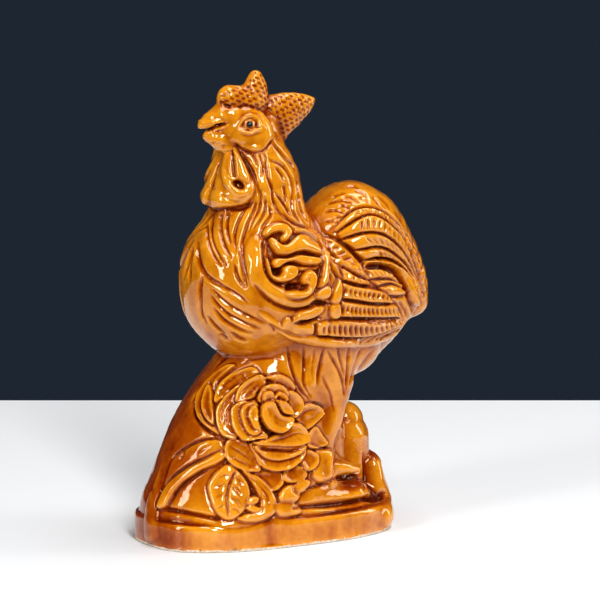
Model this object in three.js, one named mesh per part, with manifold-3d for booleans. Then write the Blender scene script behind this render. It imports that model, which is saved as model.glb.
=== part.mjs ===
// A zodiac rooster ornament: a rooster standing on a rock with a peony, on a low oval plinth,
// cast in one piece of glazed earthenware. Millimetres, +Z up, beak toward -X.
import * as THREE from 'three';
import { mergeVertices } from 'three/addons/utils/BufferGeometryUtils.js';
import Module from 'manifold-3d';

// Driving sizes
const TOTAL_HEIGHT = 160;
const TOTAL_WIDTH = 55;
const PLINTH_LENGTH = 91;
// The plinth's reach in front of the figure's own middle, which all of the figure is worked from.
const PLINTH_FRONT = 46.5;
const PLINTH_HEIGHT = 10;
const PLINTH_EDGE_RADIUS = 1.6;
const PLINTH_SQUARENESS = 2.6;
const PLINTH_SIDES = 56;
// The rock's foot stands back from the plinth's edge by this lip.
const PLINTH_LIP = 1.6;
// A shallow upright valley in each long side of the plinth, this far in front of its middle.
const VALLEY_PLACE = 13;
const VALLEY_RADIUS = 6;
const VALLEY_DEPTH = 0.9;
// The figure is sunk this far into the plinth, so that the two are one body.
const SINK = 3;

// The figure is worked out up to the tip of its comb, and its own height sets its scale. Its
// breadth follows the breadth of the whole ornament, which is also the plinth's.
const COMB_TIP = 156.3;
const COMB_TIP_RADIUS = 2.3;
const WORKED_PLINTH_TOP = 10;
const WORKED_WIDTH = 54.5;
const SCALE = (TOTAL_HEIGHT - PLINTH_HEIGHT) / (COMB_TIP + COMB_TIP_RADIUS - WORKED_PLINTH_TOP);
const SCALE_ACROSS = TOTAL_WIDTH / WORKED_WIDTH;

// Facets: the spacing of the lattice that the surface is found on, and how many triangles are kept.
const LATTICE_STEP = 1.2 * SCALE;
const FIGURE_TRIANGLES = 9200;

// The carving is laid out on a plane that faces the display side, turned toward the beak and tipped
// up, as a modeller looks at it. Its axes are q across and h up, and both flanks share it.
const CARVING_TURN = THREE.MathUtils.degToRad(28);
const CARVING_TIP = THREE.MathUtils.degToRad(11);
const CARVING_REACH = 3.5;
// The carving dies away where the surface turns edge-on to that plane.
const FACING_NONE = 0.12;
const FACING_FULL = 0.4;

const { clamp, lerp, smoothstep } = THREE.MathUtils;

// Soft union and soft overlap of two distances, with a blend of width k.
function blend(a, b, k) {
  const h = Math.max(k - Math.abs(a - b), 0) / k;
  return Math.min(a, b) - h * h * k * 0.25;
}

function overlap(a, b, k) {
  return -blend(-a, -b, k);
}

// A mass is a row of stations in the side plane: [x, z, radius in the plane, half thickness, y].
// Its sections are ellipses, and the far side is the near side mirrored.
function mass(...stations) {
  const rows = stations.length > 1 ? stations : [stations[0], stations[0]];
  const spans = [];
  for (let i = 1; i < rows.length; i += 1) {
    const [x0, z0, r0, w0, y0 = 0] = rows[i - 1];
    const [x1, z1, r1, w1, y1 = 0] = rows[i];
    const length2 = Math.max((x1 - x0) ** 2 + (z1 - z0) ** 2, 1e-6);
    spans.push({ x0, z0, r0, w0, y0, dx: x1 - x0, dz: z1 - z0, dr: r1 - r0, dw: w1 - w0, dy: y1 - y0, length2 });
  }
  return spans;
}

function massDistance(spans, x, y, z) {
  let nearest = Infinity;
  for (const s of spans) {
    const t = clamp(((x - s.x0) * s.dx + (z - s.z0) * s.dz) / s.length2, 0, 1);
    const r = s.r0 + s.dr * t;
    const w = s.w0 + s.dw * t;
    const across = Math.hypot(x - s.x0 - s.dx * t, z - s.z0 - s.dz * t);
    const side = y - s.y0 - s.dy * t;
    const k0 = Math.hypot(across / r, side / w);
    const k1 = Math.hypot(across / (r * r), side / (w * w)) + 1e-6;
    nearest = Math.min(nearest, (k0 * (k0 - 1)) / k1);
  }
  return nearest;
}

// Distance to a rounded oval outline in plan.
function ovalDistance(x, y, centre, halfLength, halfWidth, squareness) {
  const u = Math.abs(x - centre) / halfLength + 1e-4;
  const v = y / halfWidth + 1e-4;
  const rho = (u ** squareness + v ** squareness) ** (1 / squareness);
  const slope = Math.hypot(u ** (squareness - 1) / halfLength, v ** (squareness - 1) / halfWidth);
  return (rho - 1) / (rho ** (1 - squareness) * slope);
}

// A value read off a row of [height, value] pairs.
function profile(rows, z) {
  if (z <= rows[0][0]) return rows[0][1];
  for (let i = 1; i < rows.length; i += 1) {
    if (z <= rows[i][0]) {
      const t = (z - rows[i - 1][0]) / (rows[i][0] - rows[i - 1][0]);
      return lerp(rows[i - 1][1], rows[i][1], t);
    }
  }
  return rows[rows.length - 1][1];
}

// How far the rock's foot reaches over the plinth that it stands on, in the figure's own scale.
const FOOT_FRONT = (PLINTH_FRONT - PLINTH_LIP) / SCALE;
const FOOT_REAR = (PLINTH_LENGTH - PLINTH_FRONT - PLINTH_LIP) / SCALE;
const FOOT_WIDTH = (TOTAL_WIDTH / 2 - PLINTH_LIP) / SCALE_ACROSS;

// The rock, with a ridge at the front and the ground behind it.
const ROCK_FRONT = [
  [10, -FOOT_FRONT],
  [16, -43.6],
  [22, -41.4],
  [28, -39.4],
  [38, -34.7],
  [48, -28.2],
  [57, -20.6],
  [64, -14.8],
];
const ROCK_REAR = [[10, 24], [28, 21], [38, 19]];
const ROCK_FRONT_SQUARENESS = 2;
const ROCK_REAR_SQUARENESS = 3.2;
const ROCK_HALF_WIDTH = [[10, FOOT_WIDTH], [28, 22.4], [38, 21.5], [48, 20.5], [57, 19.5], [64, 17.5]];
const ROCK_TOP = 66;
// Toward the front the rock's foot spreads almost to the plinth's edge, and the spread dies away upward.
const ROCK_SPREAD = 1.1;
const SPREAD_START = [-4, 8];
const SPREAD_END = [11, 26];
const GROUND = mass([4, 8, 10, 24], [22, 6, 11, 23], [FOOT_REAR - 8, 5, 9.2, FOOT_WIDTH - 4]);
const STUMP = mass([26.4, 10, 11, 13], [28.8, 30, 9.4, 10], [30, 35.4, 6.6, 7]);
const MOUND = mass([13, 12, 6.4, 9, 12], [25, 12.4, 6.4, 9, 12]);
const BOULDER = mass([37, 9.4, 7.5, 11, 3], [36.8, 20.6, 4.4, 8, 3]);

// The bird
const BREAST = mass([-4.5, 86.6, 25.5, 24]);
const TRUNK = mass([-3, 84, 23, 23.5], [14, 82, 19, 22.5], [30, 84, 14, 18], [42, 88, 9, 12]);
const WING = mass(
  [-2, 88, 15.5, 3.6, 20.1],
  [12, 82, 14.5, 4, 20.4],
  [28, 79, 12.5, 4, 17.2],
  [40, 78, 10.5, 3.6, 12.5],
  [47, 78, 7, 3, 9],
);
const RUMP = mass([14, 68, 14, 18], [20, 62, 14, 17], [28, 66, 15, 16], [38, 71.6, 13.2, 12], [50, 78.4, 10.4, 8]);
const NECK = mass(
  [-5, 96, 21, 20],
  [-2.1, 110.4, 15, 15.4],
  [-2.6, 120, 14, 13.5],
  [-3.3, 129, 10.5, 10.2],
  [-4.4, 136, 6.8, 7.2],
);
const TAIL_END = 56.4;
const TAIL_END_RADIUS = 4.6;
const TAIL = mass(
  [23.6, 92, 15, 17],
  [32, 102.3, 15.5, 17.5],
  [41.4, 94.6, 13.2, 15],
  [50.5, 84, 9.4, 10.5],
  [TAIL_END, 74.6, TAIL_END_RADIUS, 6.4],
);
const LEG = mass(
  [14, 68, 14, 10, 11],
  [16.4, 53, 10, 7.7, 12],
  [17.1, 45.5, 6, 6.5, 12.5],
  [16.2, 40, 5.4, 6, 13.2],
  [14.4, 35.4, 4.6, 5.4, 13.8],
  [13.2, 30.5, 3.8, 5, 14.4],
  [13.6, 25, 3.6, 5.4, 15],
  [13.8, 19.6, 3.6, 5.4, 15.4],
);
const TOE = mass([16, 23.4, 3.2, 3.6, 15.6], [22, 22.8, 2.2, 2.6, 16], [26.4, 21.8, 1.1, 1.6, 16]);
const BETWEEN_LEGS = mass([12, 66, 12, 14], [15, 50, 9, 12], [19, 30, 9, 12.4], [20, 12, 10, 13]);
const SKULL = mass([-4.4, 137.2, 8, 8.2], [-9, 138.5, 8, 7.6], [-13, 140, 5.5, 5.5]);
const UPPER_BEAK = mass(
  [-13.4, 143.6, 4, 5],
  [-17.4, 143.9, 3.3, 3.9],
  [-20.9, 142.9, 2.3, 2.7],
  [-23.4, 141.9, 1.3, 1.7],
  [-24.5, 141.4, 0.7, 1],
);
const LOWER_BEAK = mass(
  [-13, 135.8, 4.5, 4.6],
  [-17.4, 136.4, 3.3, 3.5],
  [-20.5, 137.2, 1.8, 2.1],
  [-22.2, 137.5, 0.8, 1.2],
);
const MOUTH = mass([-14, 140.6, 2.5, 2.4], [-21, 140.4, 1.4, 0.9]);
const FRONT_LOBE = mass([-13.8, 149.7, 4.7, 3.6], [-7.6, 149, 4.8, 3.8]);
const MIDDLE_LOBE = mass(
  [-4.5, 148.6, 5.4, 3.8],
  [-4.2, 152.6, 4.3, 3.2],
  [-3.9, COMB_TIP, COMB_TIP_RADIUS, 2.2],
);
const REAR_LOBE = mass(
  [2.6, 145, 4.8, 3.6],
  [8.4, 144.3, 5.8, 3.4],
  [13.4, 145.2, 4.1, 2.7],
  [17.4, 146.7, 1.3, 1.5],
);
const REAR_LOBE_FOOT = mass([7, 140.6, 5, 3.2], [5.8, 136.4, 2.4, 2.4]);
const WATTLE = mass(
  [-11.6, 132.4, 2.6, 2.6, 3.8],
  [-12.6, 126.4, 3.6, 3.2, 4.6],
  [-13.3, 118.8, 5.2, 4.2, 5.4],
);
const WATTLE_FOLD = mass(
  [-12.6, 130, 2.6, 3, 1.6],
  [-13.8, 124.4, 3.6, 3.8, 2.2],
  [-15.5, 116, 5.4, 5.2, 3.2],
);
const EYE = mass([-10, 141.9, 1.9, 1.9, 5.9]);

function rockDistance(x, y, z) {
  const front = profile(ROCK_FRONT, z);
  const rear = profile(ROCK_REAR, z);
  const middle = (front + rear) / 2;
  const squareness = x < middle ? ROCK_FRONT_SQUARENESS : ROCK_REAR_SQUARENESS;
  const spread = ROCK_SPREAD * smoothstep(-x, ...SPREAD_START) * (1 - smoothstep(z, ...SPREAD_END));
  const plan = ovalDistance(x, y, middle, (rear - front) / 2, profile(ROCK_HALF_WIDTH, z), squareness) - spread;
  const rock = overlap(plan * 0.92, z - ROCK_TOP, 3);
  const ground = blend(rock, massDistance(GROUND, x, y, z), 4);
  const stump = blend(ground, massDistance(STUMP, x, y, z), 3);
  const mound = blend(stump, massDistance(MOUND, x, y, z), 3);
  return blend(mound, massDistance(BOULDER, x, y, z), 1.5);
}

function combDistance(x, y, z) {
  const front = blend(massDistance(FRONT_LOBE, x, y, z), massDistance(MIDDLE_LOBE, x, y, z), 1.2);
  const rear = blend(massDistance(REAR_LOBE, x, y, z), massDistance(REAR_LOBE_FOOT, x, y, z), 3);
  return blend(front, rear, 0.8);
}

function headDistance(x, y, z) {
  const upperBeak = blend(massDistance(UPPER_BEAK, x, y, z), massDistance(MOUTH, x, y, z), 0.4);
  let head = blend(massDistance(SKULL, x, y, z), upperBeak, 1);
  head = blend(head, massDistance(LOWER_BEAK, x, y, z), 0.6);
  head = blend(head, combDistance(x, y, z), 2.4);
  const wattle = blend(massDistance(WATTLE, x, y, z), massDistance(WATTLE_FOLD, x, y, z), 0.6);
  head = blend(head, wattle, 0.6);
  return Math.min(head, massDistance(EYE, x, y, z));
}

function birdDistance(x, y, z) {
  let bird = blend(massDistance(BREAST, x, y, z), massDistance(TRUNK, x, y, z), 6);
  bird = blend(bird, massDistance(RUMP, x, y, z), 4);
  bird = blend(bird, massDistance(WING, x, y, z), 3);
  bird = blend(bird, massDistance(NECK, x, y, z), 7);
  bird = blend(bird, massDistance(TAIL, x, y, z), 3);
  bird = blend(bird, massDistance(LEG, x, y, z), 3);
  bird = blend(bird, massDistance(TOE, x, y, z), 1);
  bird = blend(bird, headDistance(x, y, z), 2);
  return blend(bird, massDistance(BETWEEN_LEGS, x, y, z), 3);
}

// Carving: strokes on the carving plane. A ridge stands proud and a groove is cut in.
const carving = [];

function stroke(points, width, height) {
  const curve = new THREE.SplineCurve(points.map(([q, h]) => new THREE.Vector2(q, h)));
  const path = curve.getPoints(4 * (points.length - 1));
  const box = new THREE.Box2().setFromPoints(path).expandByScalar(width * 2);
  carving.push({ path, width, height, box });
}

function ridge(points, width, height) {
  stroke(points, width, height);
}

function groove(points, width, depth) {
  stroke(points, width, -depth);
}

// Evenly spaced grooves between two guide curves that have as many points as each other.
function grooveFan(guideA, guideB, count, width, depth) {
  for (let i = 0; i < count; i += 1) {
    const t = count > 1 ? i / (count - 1) : 0.5;
    groove(guideA.map(([q, h], k) => [lerp(q, guideB[k][0], t), lerp(h, guideB[k][1], t)]), width, depth);
  }
}

function carveHackles() {
  const throat = [[-9, 129], [-5, 121], [-2.6, 113], [-5, 106], [-9.5, 99]];
  const nape = [[5, 130], [9, 123], [11.4, 114], [13.8, 106], [17.5, 100.5]];
  grooveFan(throat, nape, 6, 1.2, 1);
}

function carveBreast() {
  groove([[-19, 107], [-19.4, 100], [-17.8, 93], [-13.5, 88]], 1, 1.1);
  groove([[-15, 107], [-15.2, 101], [-13.4, 95], [-10.8, 91]], 1, 1.1);
  groove([[-10.6, 103], [-10.8, 98], [-9, 93.5]], 1, 1.1);
  groove([[-23, 97], [-22, 90], [-18.5, 85.5], [-11.5, 81], [-6, 77.5]], 1.1, 1.3);
  groove([[-17.5, 82], [-12.5, 77], [-5.5, 73], [0, 70.3]], 1, 1);
  groove([[-17.5, 77.5], [-13, 72.8], [-7, 69.4], [-1, 67.6]], 1, 0.8);
  groove([[-20.5, 88], [-21.6, 82], [-21.6, 76], [-19, 69.5], [-14, 65.5]], 1.1, 0.8);
  groove([[-8, 98], [-7.4, 91], [-6, 84.5]], 1, 0.9);
}

function carveScroll() {
  const ringWidth = 1.6;
  const ringTop = [[0.8, 100.5], [0, 95], [-0.4, 90], [0.6, 84.8]];
  const ringFoot = [[4, 80.8], [8.6, 78.4], [13, 78.4], [16.4, 80.6]];
  ridge([...ringTop, ...ringFoot], ringWidth, 1.3);
  ridge([[14, 99.6], [18, 96], [19.8, 91], [19.4, 85.5], [17, 82]], ringWidth, 1.3);
  ridge([[0, 101.8], [3.5, 103.2], [7, 102.6], [8.4, 100.4], [6.6, 98.6]], 1.5, 1.3);
  ridge([[2.2, 98.4], [4.4, 95.4], [7.6, 95.6], [10.6, 97.8], [13.6, 97.4], [17, 94.8]], 1.6, 1.6);
  ridge([[3, 91.8], [5.4, 91.4], [9, 92.2], [13, 91.2], [17.6, 91]], 1.5, 1.6);
  ridge([[1.4, 88], [2.6, 85.2], [5.6, 84.6], [8.4, 86], [8.4, 88.6], [6, 89.4]], 1.5, 1.6);
  ridge([[6.8, 79.8], [10.4, 79.8], [13.8, 81.4], [16, 84], [15.6, 86.8], [13.4, 87], [12.4, 84.8]], 1.5, 1.6);
  groove([[3.4, 87.4], [4.4, 87.2]], 1.6, 2.2);
  groove([[8.4, 82.2], [10.8, 82.4]], 1.6, 2.2);
  groove([[15.8, 77.2], [18.2, 76.6], [20.8, 77.6]], 1.2, 1.6);
  groove([[3.6, 93.8], [8, 94.2], [12.6, 94.6], [18, 93]], 0.9, 1.4);
  groove([[-5, 84], [0, 78.8], [6, 75.4], [11.5, 74.6], [15.4, 76]], 1.1, 1.5);
}

// The lower edges of the wing's long feathers, one row under another.
const WING_LINES = [
  [[26.5, 89.6], [30, 86.8], [35, 84.2]],
  [[25.5, 84.4], [33, 82], [40, 80.8]],
  [[22.5, 78.6], [33, 77.4], [42.5, 77.4]],
  [[18, 71.6], [33, 71.8], [46, 72.2]],
  [[16, 66.4], [26, 65.4], [36, 66.2], [46.5, 70.6]],
];

function carveWing() {
  for (const line of WING_LINES) {
    groove(line, 1.3, 1.2);
  }
  ridge([[0, 71.5], [8, 66.6], [18, 64.2], [32, 63.8], [42, 66.8], [47, 70]], 1.5, 1.2);
  groove([[10.5, 73.4], [14, 71.6], [18, 73.8]], 0.9, 1.6);
  groove([[17.2, 82], [19, 79], [21.6, 81]], 0.8, 1.1);
  groove([[21.8, 84.4], [22.6, 80], [21.8, 76]], 0.8, 1.2);
  groove([[19.4, 99.6], [25, 96], [30, 91.4], [34.6, 85.8]], 0.9, 1.1);
  groove([[18.6, 98.4], [22, 93.6], [27, 89.2], [33, 85.6]], 0.9, 1.1);
}

function carveTail() {
  const outerPlume = [[22, 101.6], [28, 107.6], [34.5, 110], [41, 107.6], [47, 101], [52.6, 91]];
  const innerPlume = [[30, 94], [34, 92.6], [38, 92.4], [43, 91], [47, 86.4], [49, 78]];
  grooveFan(outerPlume, innerPlume, 4, 1.3, 1.2);
  ridge([[33, 90.8], [38.5, 91.2], [44, 89.2], [47.6, 85], [49.6, 79], [50.4, 74]], 1.3, 1);
  groove([[33.6, 89.4], [40, 88.8], [44.6, 86.6], [47, 82.6], [48.4, 77]], 1, 1.6);
  groove([[35, 84.6], [41, 84.6], [46, 83.2]], 0.9, 1.3);
  groove([[42, 79.4], [45.4, 78.6], [48, 79.4]], 0.9, 1.1);
  groove([[44.2, 77.6], [46.4, 74], [47, 70.8]], 0.8, 1);
}

function carveHead() {
  groove([[-16, 144.6], [-11.6, 142.6], [-4.6, 143], [0, 140.4], [3, 136], [5, 132]], 0.9, 1);
  groove([[-9.4, 130], [-5.4, 127.8], [-1, 128], [2.4, 131]], 0.9, 1.1);
  ridge([[-9.6, 136.4], [-7.6, 139], [-4.6, 139.2], [-1.8, 136.6]], 0.8, 0.8);
  ridge([[-9.2, 135.8], [-6, 134.4], [-1.8, 135.8]], 0.8, 0.7);
  groove([[-20.5, 136.4], [-16, 136.8], [-12, 136.6]], 0.8, 1.4);
}

function carveWattles() {
  groove([[-10, 128.4], [-10.4, 123], [-10.2, 119]], 0.8, 1.1);
  groove([[-10, 117.2], [-8.4, 116.8]], 1.3, 2.4);
  groove([[-16, 126], [-17, 120], [-16, 114.6]], 0.9, 1);
  groove([[-9.6, 129.8], [-6, 123.6], [-3.8, 117.6], [-5, 112]], 0.9, 1.2);
}

function carveLeg() {
  groove([[7.4, 62.6], [9, 55.6], [11.6, 49], [15, 44.4]], 1, 1);
  groove([[13, 62.4], [12.8, 55], [13.6, 49.6], [16, 45.4]], 0.9, 0.9);
  groove([[19.6, 61.8], [18, 55.6], [17.4, 50]], 0.9, 0.9);
  groove([[20.6, 60.6], [24, 55.6], [26, 50.6], [26.4, 45.6]], 0.9, 0.9);
  groove([[28, 62], [27.6, 55], [27.2, 47.6]], 0.9, 0.9);
  groove([[33, 62], [31, 57.6], [28.4, 50]], 0.9, 0.8);
  groove([[22.6, 27], [22.6, 22], [22.4, 18.6]], 0.8, 1);
  groove([[17, 27], [20, 26.6], [22.6, 26.8]], 0.8, 1);
}

function carveRock() {
  groove([[-12, 59.8], [-18.6, 54], [-23, 45.6], [-23.4, 40], [-20, 35.6], [-15.4, 32.2]], 1.1, 1.3);
  groove([[-15, 54.4], [-18.4, 48.6], [-18.6, 42], [-15.8, 36]], 0.9, 1);
  groove([[-30.6, 25], [-25.6, 28.8], [-20, 30.6], [-15, 30.8]], 1, 1.1);
  ridge([[-34, 9.6], [-30, 16.6], [-24.6, 21], [-18.6, 24.6], [-15.6, 27]], 1.1, 1);
  groove([[-33.4, 11], [-29, 16], [-24, 19.6], [-18.6, 23]], 0.8, 1);
  groove([[-17, 23], [-19.6, 17.6], [-19.6, 12], [-17, 6.6]], 0.9, 1.1);
  groove([[-10.4, 20.6], [-12.8, 15], [-13, 9.6], [-11.6, 5.4]], 0.8, 1);
  groove([[-8.6, 20.6], [-5.8, 16], [-6, 11], [-9.4, 7]], 0.9, 1.1);
  groove([[-3.6, 16.6], [0.6, 13.4], [2.8, 9]], 0.9, 1);
  groove([[12, 9.4], [20, 9.2], [28, 9.6], [38, 11.4]], 1.1, 1.4);
  groove([[33.4, 27], [33.6, 20], [33.4, 13.4]], 0.9, 1.1);
  groove([[13, 11.6], [19, 12.4], [26, 13.2], [32, 13.2]], 1.6, 1.1);
}

// The peony: cupped petals laid one over another, the outer ones first, given by the middle of the
// petal, its half length and half breadth, the slope of its length, and how far it stands out.
const PEONY = [
  [-13, 44, 12, 6, 60, 0.8],
  [-7, 51, 9, 4.5, 40, 1],
  [-14.4, 38, 7, 3.6, 80, 1],
  [5, 52, 6.5, 3.6, -10, 1.2],
  [10.4, 47, 5.4, 3.4, -60, 1.2],
  [1, 18, 5, 3.6, -5, 1],
  [9.6, 19.4, 4.6, 3, 10, 1],
  [15, 25, 3.6, 2.8, 60, 1.2],
  [15, 39.4, 5, 3, 50, 1.2],
  [-8.4, 26.4, 6.4, 4.6, -45, 1.6],
  [4.6, 26, 8.6, 5.2, 10, 1.8],
  [-4.4, 48, 6.4, 3.8, 40, 1.8],
  [-9, 38, 7.4, 5, 75, 2],
  [5.4, 33.2, 8.6, 4, 12, 2.4],
  [-4.6, 38.6, 7.6, 5.4, 80, 2.6],
  [7.6, 45.4, 4, 3.4, -60, 2.6],
  [0.6, 47, 4.4, 3, 20, 2.6],
  [3.4, 39.4, 5.6, 5.2, 70, 3.6],
].map(([q, h, length, breadth, slope, level]) => {
  const angle = THREE.MathUtils.degToRad(slope);
  return { q, h, length, breadth, cos: Math.cos(angle), sin: Math.sin(angle), level };
});
const PETAL_RIM = 0.7;
const PEONY_FRAME = new THREE.Box2(new THREE.Vector2(-24, 12), new THREE.Vector2(21, 60));

function peonyHeight(q, h) {
  let height = 0;
  for (const petal of PEONY) {
    const along = ((q - petal.q) * petal.cos + (h - petal.h) * petal.sin) / petal.length;
    const aside = ((h - petal.h) * petal.cos - (q - petal.q) * petal.sin) / petal.breadth;
    const radius = Math.hypot(along, aside);
    const cover = 1 - smoothstep(radius, 0.86, 1.1);
    if (cover > 0) {
      const cup = petal.level - PETAL_RIM + 1.5 * PETAL_RIM * smoothstep(radius, 0.35, 0.9);
      height = lerp(height, cup, cover);
    }
  }
  return height;
}

carveHackles();
carveBreast();
carveScroll();
carveWing();
carveTail();
carveHead();
carveWattles();
carveLeg();
carveRock();

function distanceToPath2(path, q, h) {
  let nearest = Infinity;
  for (let i = 1; i < path.length; i += 1) {
    const ax = path[i - 1].x;
    const ay = path[i - 1].y;
    const ex = path[i].x - ax;
    const ey = path[i].y - ay;
    const t = clamp(((q - ax) * ex + (h - ay) * ey) / (ex * ex + ey * ey), 0, 1);
    const dx = q - ax - ex * t;
    const dy = h - ay - ey * t;
    nearest = Math.min(nearest, dx * dx + dy * dy);
  }
  return nearest;
}

// How far the carved surface stands out from the smooth one.
function carvedHeight(q, h) {
  let raised = 0;
  let cut = 0;
  for (const { path, width, height, box } of carving) {
    if (q > box.min.x && q < box.max.x && h > box.min.y && h < box.max.y) {
      const share = Math.exp(-distanceToPath2(path, q, h) / (width * width));
      if (height > 0) raised = Math.max(raised, height * share);
      else cut = Math.min(cut, height * share);
    }
  }
  if (q > PEONY_FRAME.min.x && q < PEONY_FRAME.max.x && h > PEONY_FRAME.min.y && h < PEONY_FRAME.max.y) {
    raised += peonyHeight(q, h);
  }
  return raised + cut;
}

const turnCos = Math.cos(CARVING_TURN);
const turnSin = Math.sin(CARVING_TURN);
const tipCos = Math.cos(CARVING_TIP);
const tipSin = Math.sin(CARVING_TIP);

function smoothDistance(x, y, z) {
  return blend(rockDistance(x, y, z), birdDistance(x, y, z), 2);
}

// Distance to the carved figure, in its own scale. Negative is inside.
function figureDistance(x, y, z) {
  const smooth = smoothDistance(x, y, z);
  if (Math.abs(smooth) > CARVING_REACH) return smooth;
  const q = turnCos * x + turnSin * y;
  const h = tipCos * z + turnSin * tipSin * x - turnCos * tipSin * y;
  const height = carvedHeight(q, h);
  if (height === 0) return smooth;
  const [nearX, nearY, nearZ] = [x - turnSin * tipCos, y + turnCos * tipCos, z + tipSin];
  const facing = Math.abs(smoothDistance(nearX, Math.abs(nearY), nearZ) - smooth);
  return smooth - height * smoothstep(facing, FACING_NONE, FACING_FULL);
}

// The lattice covers the figure from inside the plinth upward. y is mirrored.
const ROOM = 3;
const REACH = {
  beak: -FOOT_FRONT - ROOM,
  tail: TAIL_END + TAIL_END_RADIUS + ROOM,
  side: WORKED_WIDTH / 2 + ROOM,
  top: COMB_TIP + COMB_TIP_RADIUS + ROOM,
};
const BLOCK = 6;
const ON_SURFACE = 0.02;
const FIGURE_FLOOR = PLINTH_HEIGHT - SINK;

function sampleLattice() {
  const nx = Math.ceil(((REACH.tail - REACH.beak) * SCALE) / LATTICE_STEP) + 1;
  const ny = Math.ceil((REACH.side * SCALE_ACROSS) / LATTICE_STEP) + 1;
  const low = FIGURE_FLOOR - 1.5 * LATTICE_STEP;
  const top = (REACH.top - WORKED_PLINTH_TOP) * SCALE + PLINTH_HEIGHT;
  const nz = Math.ceil((top - low) / LATTICE_STEP) + 1;
  const values = new Float64Array(nx * ny * nz);
  const worked = (i, j, k) => {
    const z = (low + k * LATTICE_STEP - PLINTH_HEIGHT) / SCALE + WORKED_PLINTH_TOP;
    return [REACH.beak + (i * LATTICE_STEP) / SCALE, (j * LATTICE_STEP) / SCALE_ACROSS, z];
  };
  const fillBlock = (i0, j0, k0) => {
    // A block far from the surface takes one value.
    const centre = [i0, j0, k0].map((n) => n + BLOCK / 2);
    const far = smoothDistance(...worked(...centre));
    const skipped = Math.abs(far) * SCALE > BLOCK * LATTICE_STEP + CARVING_REACH * SCALE;
    for (let i = i0; i < Math.min(i0 + BLOCK, nx); i += 1) {
      for (let j = j0; j < Math.min(j0 + BLOCK, ny); j += 1) {
        for (let k = k0; k < Math.min(k0 + BLOCK, nz); k += 1) {
          const distance = (skipped ? far : figureDistance(...worked(i, j, k))) * SCALE;
          const value = Math.max(distance, FIGURE_FLOOR - low - k * LATTICE_STEP);
          // A lattice point exactly on the surface would make a triangle without area, and the
          // lattice's own outer points are always outside.
          const outer = i === 0 || i === nx - 1 || j === ny - 1 || k === 0 || k === nz - 1;
          const onSurface = Math.abs(value) < ON_SURFACE;
          values[(i * ny + j) * nz + k] = onSurface || (outer && value < 0) ? ON_SURFACE : value;
        }
      }
    }
  };
  for (let i = 0; i < nx; i += BLOCK) {
    for (let j = 0; j < ny; j += BLOCK) {
      for (let k = 0; k < nz; k += BLOCK) fillBlock(i, j, k);
    }
  }
  return { nx, ny, nz, low, values };
}

// Six tetrahedra fill each lattice cube, one for each order of stepping along the three axes.
const ORDERS = [[0, 1, 2], [1, 2, 0], [2, 0, 1], [0, 2, 1], [2, 1, 0], [1, 0, 2]];

// Finds the surface where the distance changes sign. The result is closed by construction.
function polygonise({ nx, ny, nz, low, values }) {
  const rows = 2 * ny - 1;
  const origin = [REACH.beak * SCALE, -(ny - 1) * LATTICE_STEP, low];
  const corner = (i, j, k) => (i * rows + j) * nz + k;
  const valueAt = (i, j, k) => values[(i * ny + Math.abs(j - ny + 1)) * nz + k];
  const positions = [];
  const triangles = [];
  const found = new Map();
  const crossing = (a, b) => {
    const [first, last] = a.id < b.id ? [a, b] : [b, a];
    const key = first.id * 8 + (last.i - first.i) * 4 + (last.j - first.j) * 2 + (last.k - first.k);
    if (!found.has(key)) {
      const t = first.value / (first.value - last.value);
      found.set(key, positions.length / 3);
      positions.push(
        origin[0] + lerp(first.i, last.i, t) * LATTICE_STEP,
        origin[1] + lerp(first.j, last.j, t) * LATTICE_STEP,
        origin[2] + lerp(first.k, last.k, t) * LATTICE_STEP,
      );
    }
    return found.get(key);
  };
  const addTriangle = (a, b, c, even) => triangles.push(...(even ? [a, b, c] : [a, c, b]));
  const cutTetrahedron = (corners, even) => {
    const inside = corners.map((_, n) => n).filter((n) => corners[n].value < 0);
    if (inside.length === 0 || inside.length === 4) return;
    const outside = [0, 1, 2, 3].filter((n) => corners[n].value >= 0);
    const order = [...inside, ...outside];
    let swaps = 0;
    for (let m = 0; m < 4; m += 1) {
      for (let n = m + 1; n < 4; n += 1) {
        if (order[m] > order[n]) swaps += 1;
      }
    }
    const straight = (swaps % 2 === 0) === even;
    const [a, b, c, d] = order.map((n) => corners[n]);
    if (inside.length === 1) {
      addTriangle(crossing(a, b), crossing(a, c), crossing(a, d), straight);
    } else if (inside.length === 3) {
      addTriangle(crossing(d, a), crossing(d, b), crossing(d, c), straight);
    } else {
      const [ac, ad, bd, bc] = [crossing(a, c), crossing(a, d), crossing(b, d), crossing(b, c)];
      addTriangle(ac, ad, bd, straight);
      addTriangle(ac, bd, bc, straight);
    }
  };
  const makeCorner = (i, j, k) => ({ i, j, k, id: corner(i, j, k), value: valueAt(i, j, k) });
  for (let i = 0; i < nx - 1; i += 1) {
    for (let j = 0; j < rows - 1; j += 1) {
      for (let k = 0; k < nz - 1; k += 1) {
        const inside = valueAt(i, j, k) < 0;
        let mixed = false;
        for (let n = 1; n < 8 && !mixed; n += 1) {
          mixed = valueAt(i + (n & 1), j + ((n >> 1) & 1), k + (n >> 2)) < 0 !== inside;
        }
        if (mixed) {
          ORDERS.forEach((order, n) => {
            const at = [i, j, k];
            const corners = [makeCorner(...at)];
            for (const axis of order) {
              at[axis] += 1;
              corners.push(makeCorner(...at));
            }
            cutTetrahedron(corners, n < 3);
          });
        }
      }
    }
  }
  return { positions, triangles };
}

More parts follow.
